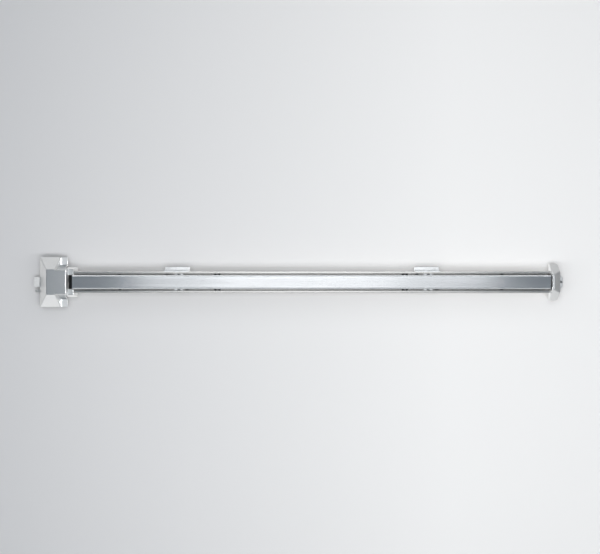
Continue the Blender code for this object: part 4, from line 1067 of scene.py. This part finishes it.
def backdrop_material():
    """Pale glowing paint with painted light: brighter to the right, and a painted shadow where the object
    touches it; clear when seen from behind.
    """
    material, tree, shader, output = node_material("backdrop_paint")
    place = tree.nodes.new("ShaderNodeTexCoord").outputs["Object"]
    across = tree.nodes.new("ShaderNodeSeparateXYZ")
    tree.links.new(place, across.inputs[0])
    # Paint and glow grow brighter to the right: painted light, as if falling from the right.
    share = remap(tree, across.outputs["X"], MIDDLE_X - 0.6, MIDDLE_X + 0.3, 0.0, 1.0)
    # Ambient occlusion darkens paint and glow close to the object: a painted contact shadow.
    contact_shade_mask = shade(tree, "AmbientOcclusion", {"Distance": 0.012}, samples=8)
    painted_contact_shade = remap(tree, contact_shade_mask, 0.45, 0.95, 0.66, 1.0)
    paint_with_painted_light = mixed_colour(tree, share, (0.76, 0.76, 0.77, 1), (0.84, 0.84, 0.84, 1))
    tree.links.new(tinted(tree, paint_with_painted_light, painted_contact_shade), shader.inputs["Base Color"])
    # The glow's rise to the right is painted light as well, dimmed by the same painted contact shadow.
    glow = mixed_colour(tree, share, (0.055, 0.05, 0.045, 1), (0.285, 0.275, 0.265, 1))
    tree.links.new(tinted(tree, glow, painted_contact_shade), shader.inputs["Emission Color"])
    shader.inputs["Emission Strength"].default_value = 1.0
    shader.inputs["Roughness"].default_value = 0.9
    shader.inputs["Specular IOR Level"].default_value = 0.0
    clear = tree.nodes.new("ShaderNodeBsdfTransparent").outputs[0]
    behind = tree.nodes.new("ShaderNodeNewGeometry").outputs["Backfacing"]
    sides = shade(tree, "MixShader", {0: behind, 1: shader.outputs[0], 2: clear})
    tree.links.new(sides, output.inputs["Surface"])
    return material


def floor_material():
    material, _, shader, _ = node_material("floor_paint")
    shader.inputs["Base Color"].default_value = (0.80, 0.80, 0.80, 1)
    shader.inputs["Emission Color"].default_value = (0.30, 0.30, 0.30, 1)
    shader.inputs["Emission Strength"].default_value = 1.0
    shader.inputs["Roughness"].default_value = 0.8
    return material


def add_stage():
    """The wall that the device hangs on, and a floor that neither tints the metal nor lights it."""
    width, wall_height, floor_width, floor_length = 4.0, 2.6, 6.0, 4.0
    upright = Matrix.Rotation(math.radians(90), 4, "X")
    centre = (MIDDLE_X, WALL_DEPTH, FLOOR_HEIGHT + wall_height / 2)
    wall = plane("backdrop", width, wall_height, Matrix.Translation(centre) @ upright)
    wall.data.materials.append(backdrop_material())
    centre = (MIDDLE_X, WALL_DEPTH - floor_length / 2, FLOOR_HEIGHT)
    floor = plane("floor", floor_width, floor_length, Matrix.Translation(centre))
    floor.data.materials.append(floor_material())
    wall.visible_glossy = wall.visible_shadow = False
    floor.visible_glossy = floor.visible_diffuse = False
    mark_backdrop(wall, floor)
    return wall


def add_lamp(data, place):
    lamp = bpy.data.objects.new(data.name, data)
    lamp.location = place
    lamp.visible_camera = False
    bpy.context.scene.collection.objects.link(lamp)
    return lamp


def area_light(name, place, aim, size, power):
    data = bpy.data.lights.new(name, "AREA")
    data.shape = "RECTANGLE"
    data.size, data.size_y = size
    data.energy = power
    lamp = add_lamp(data, place)
    lamp.rotation_euler = (Vector(aim) - Vector(place)).to_track_quat("-Z", "Z").to_euler()
    return lamp


def point_light(name, place, radius, power):
    data = bpy.data.lights.new(name, "POINT")
    data.shadow_soft_size = radius
    data.energy = power
    return add_lamp(data, place)


def studio_world():
    """The room the metal mirrors: dim and bluish in front, bright behind and below, dimmer to the right."""
    world = bpy.data.worlds.new("studio")
    world.use_nodes = True
    bpy.context.scene.world = world
    tree = world.node_tree
    way = tree.nodes.new("ShaderNodeSeparateXYZ")
    tree.links.new(tree.nodes.new("ShaderNodeTexCoord").outputs["Generated"], way.inputs[0])
    behind = remap(tree, way.outputs["Y"], -0.05, 0.40, 0.0, 1.0)
    sideways = shade(tree, "Math", {0: way.outputs["X"]}, operation="ABSOLUTE")
    sides = remap(tree, sideways, 0.40, 1.00, 1.0, 0.40)
    tilt = remap(tree, way.outputs["Z"], -1.0, 1.0, 1.10, 0.80)
    right = remap(tree, way.outputs["X"], -0.10, 0.16, 1.0, 0.68)
    room = computed(tree, "MULTIPLY", computed(tree, "MULTIPLY", sides, tilt), right)
    glow = mixed_colour(tree, behind, (0.155, 0.180, 0.205, 1), (1.10, 1.10, 1.10, 1))
    level = mixed_colour(tree, behind, (1, 1, 1, 1), room)
    tree.links.new(tinted(tree, glow, level), tree.nodes["Background"].inputs["Color"])


def light_only(lamp, *pieces):
    """The lamp reaches these pieces, and only they shade it."""
    reached = bpy.data.collections.new(lamp.name + "_reach")
    for piece in pieces:
        reached.objects.link(piece)
    lamp.light_linking.receiver_collection = reached
    lamp.light_linking.blocker_collection = reached


def light_wall(wall, middle):
    """A low key and a high fill for the wall alone, which the device shades."""
    for name, y, z, size, power in (
        ("wall_key", -1.5, -0.50, (3.0, 0.35), 14.0),
        ("wall_fill", -1.2, 0.90, (3.0, 0.9), 6.2),
    ):
        lamp = area_light(name, (MIDDLE_X, y, z), middle, size, power)
        light_only(lamp, wall)
        lamp.light_linking.blocker_collection = None


def add_lights(wall):
    """Front panels that the bar mirrors, light for the wall, and cards that each lift a few pieces."""
    left_end, middle, right_end = (0.0, 0.0, 0.0), (MIDDLE_X, 0.0, 0.0), (0.99, 0.0, 0.0)
    fine = {piece.name.removesuffix("_fine"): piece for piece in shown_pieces()}
    bar, rail, bolts = fine["push_bar"], fine["base_rail"], (fine["latch_bolt"], fine["auxiliary_bolt"])
    cover, collar, cap = fine["mechanism_cover"], fine["rail_collar"], fine["end_cap"]
    area_light("front_softbox", (MIDDLE_X + 0.055, -3.2, 0.0), middle, (1.38, 1.2), 5.4)
    area_light("front_core", (MIDDLE_X + 0.02, -3.1, 0.0), middle, (0.7, 0.9), 1.2)
    light_wall(wall, middle)
    for name, place, aim, size, power, lit in (
        ("upper_strip", (MIDDLE_X, -0.60, 0.70), middle, (1.7, 0.25), 3.8, (bar, rail)),
        ("lower_strip", (MIDDLE_X, -0.60, -0.70), middle, (1.5, 0.25), 1.4, (bar, rail)),
        ("cover_card", (0.62, -0.95, 0.0), left_end, (0.25, 0.5), 0.30, (cover,)),
        ("cap_card", (1.10, -0.95, 0.0), right_end, (0.10, 0.5), 0.24, (cap,)),
        ("latch_card", (-1.0, -0.6, 0.0), left_end, (0.5, 0.5), 1.6, bolts),
    ):
        light_only(area_light(name, place, aim, size, power), *lit)
    light_only(point_light("centre_fill", (MIDDLE_X, -0.15, 0.0), 0.05, 6.5), cover, collar, cap)
    studio_world()


# ---- assembly -----------------------------------------------------------------------------------

mechanism_cover()
rail_collar()
slot_shield()
latch_bolt()
auxiliary_bolt()
springs()
base_rail()
push_bar()
bar_plug("left", 1)
bar_plug("right", -1)
rail_bracket("left")
rail_bracket("right")
end_cap()
small_parts()
linkage()

add_camera()
add_lights(add_stage())
bpy.context.scene.view_settings.view_transform = "Standard"
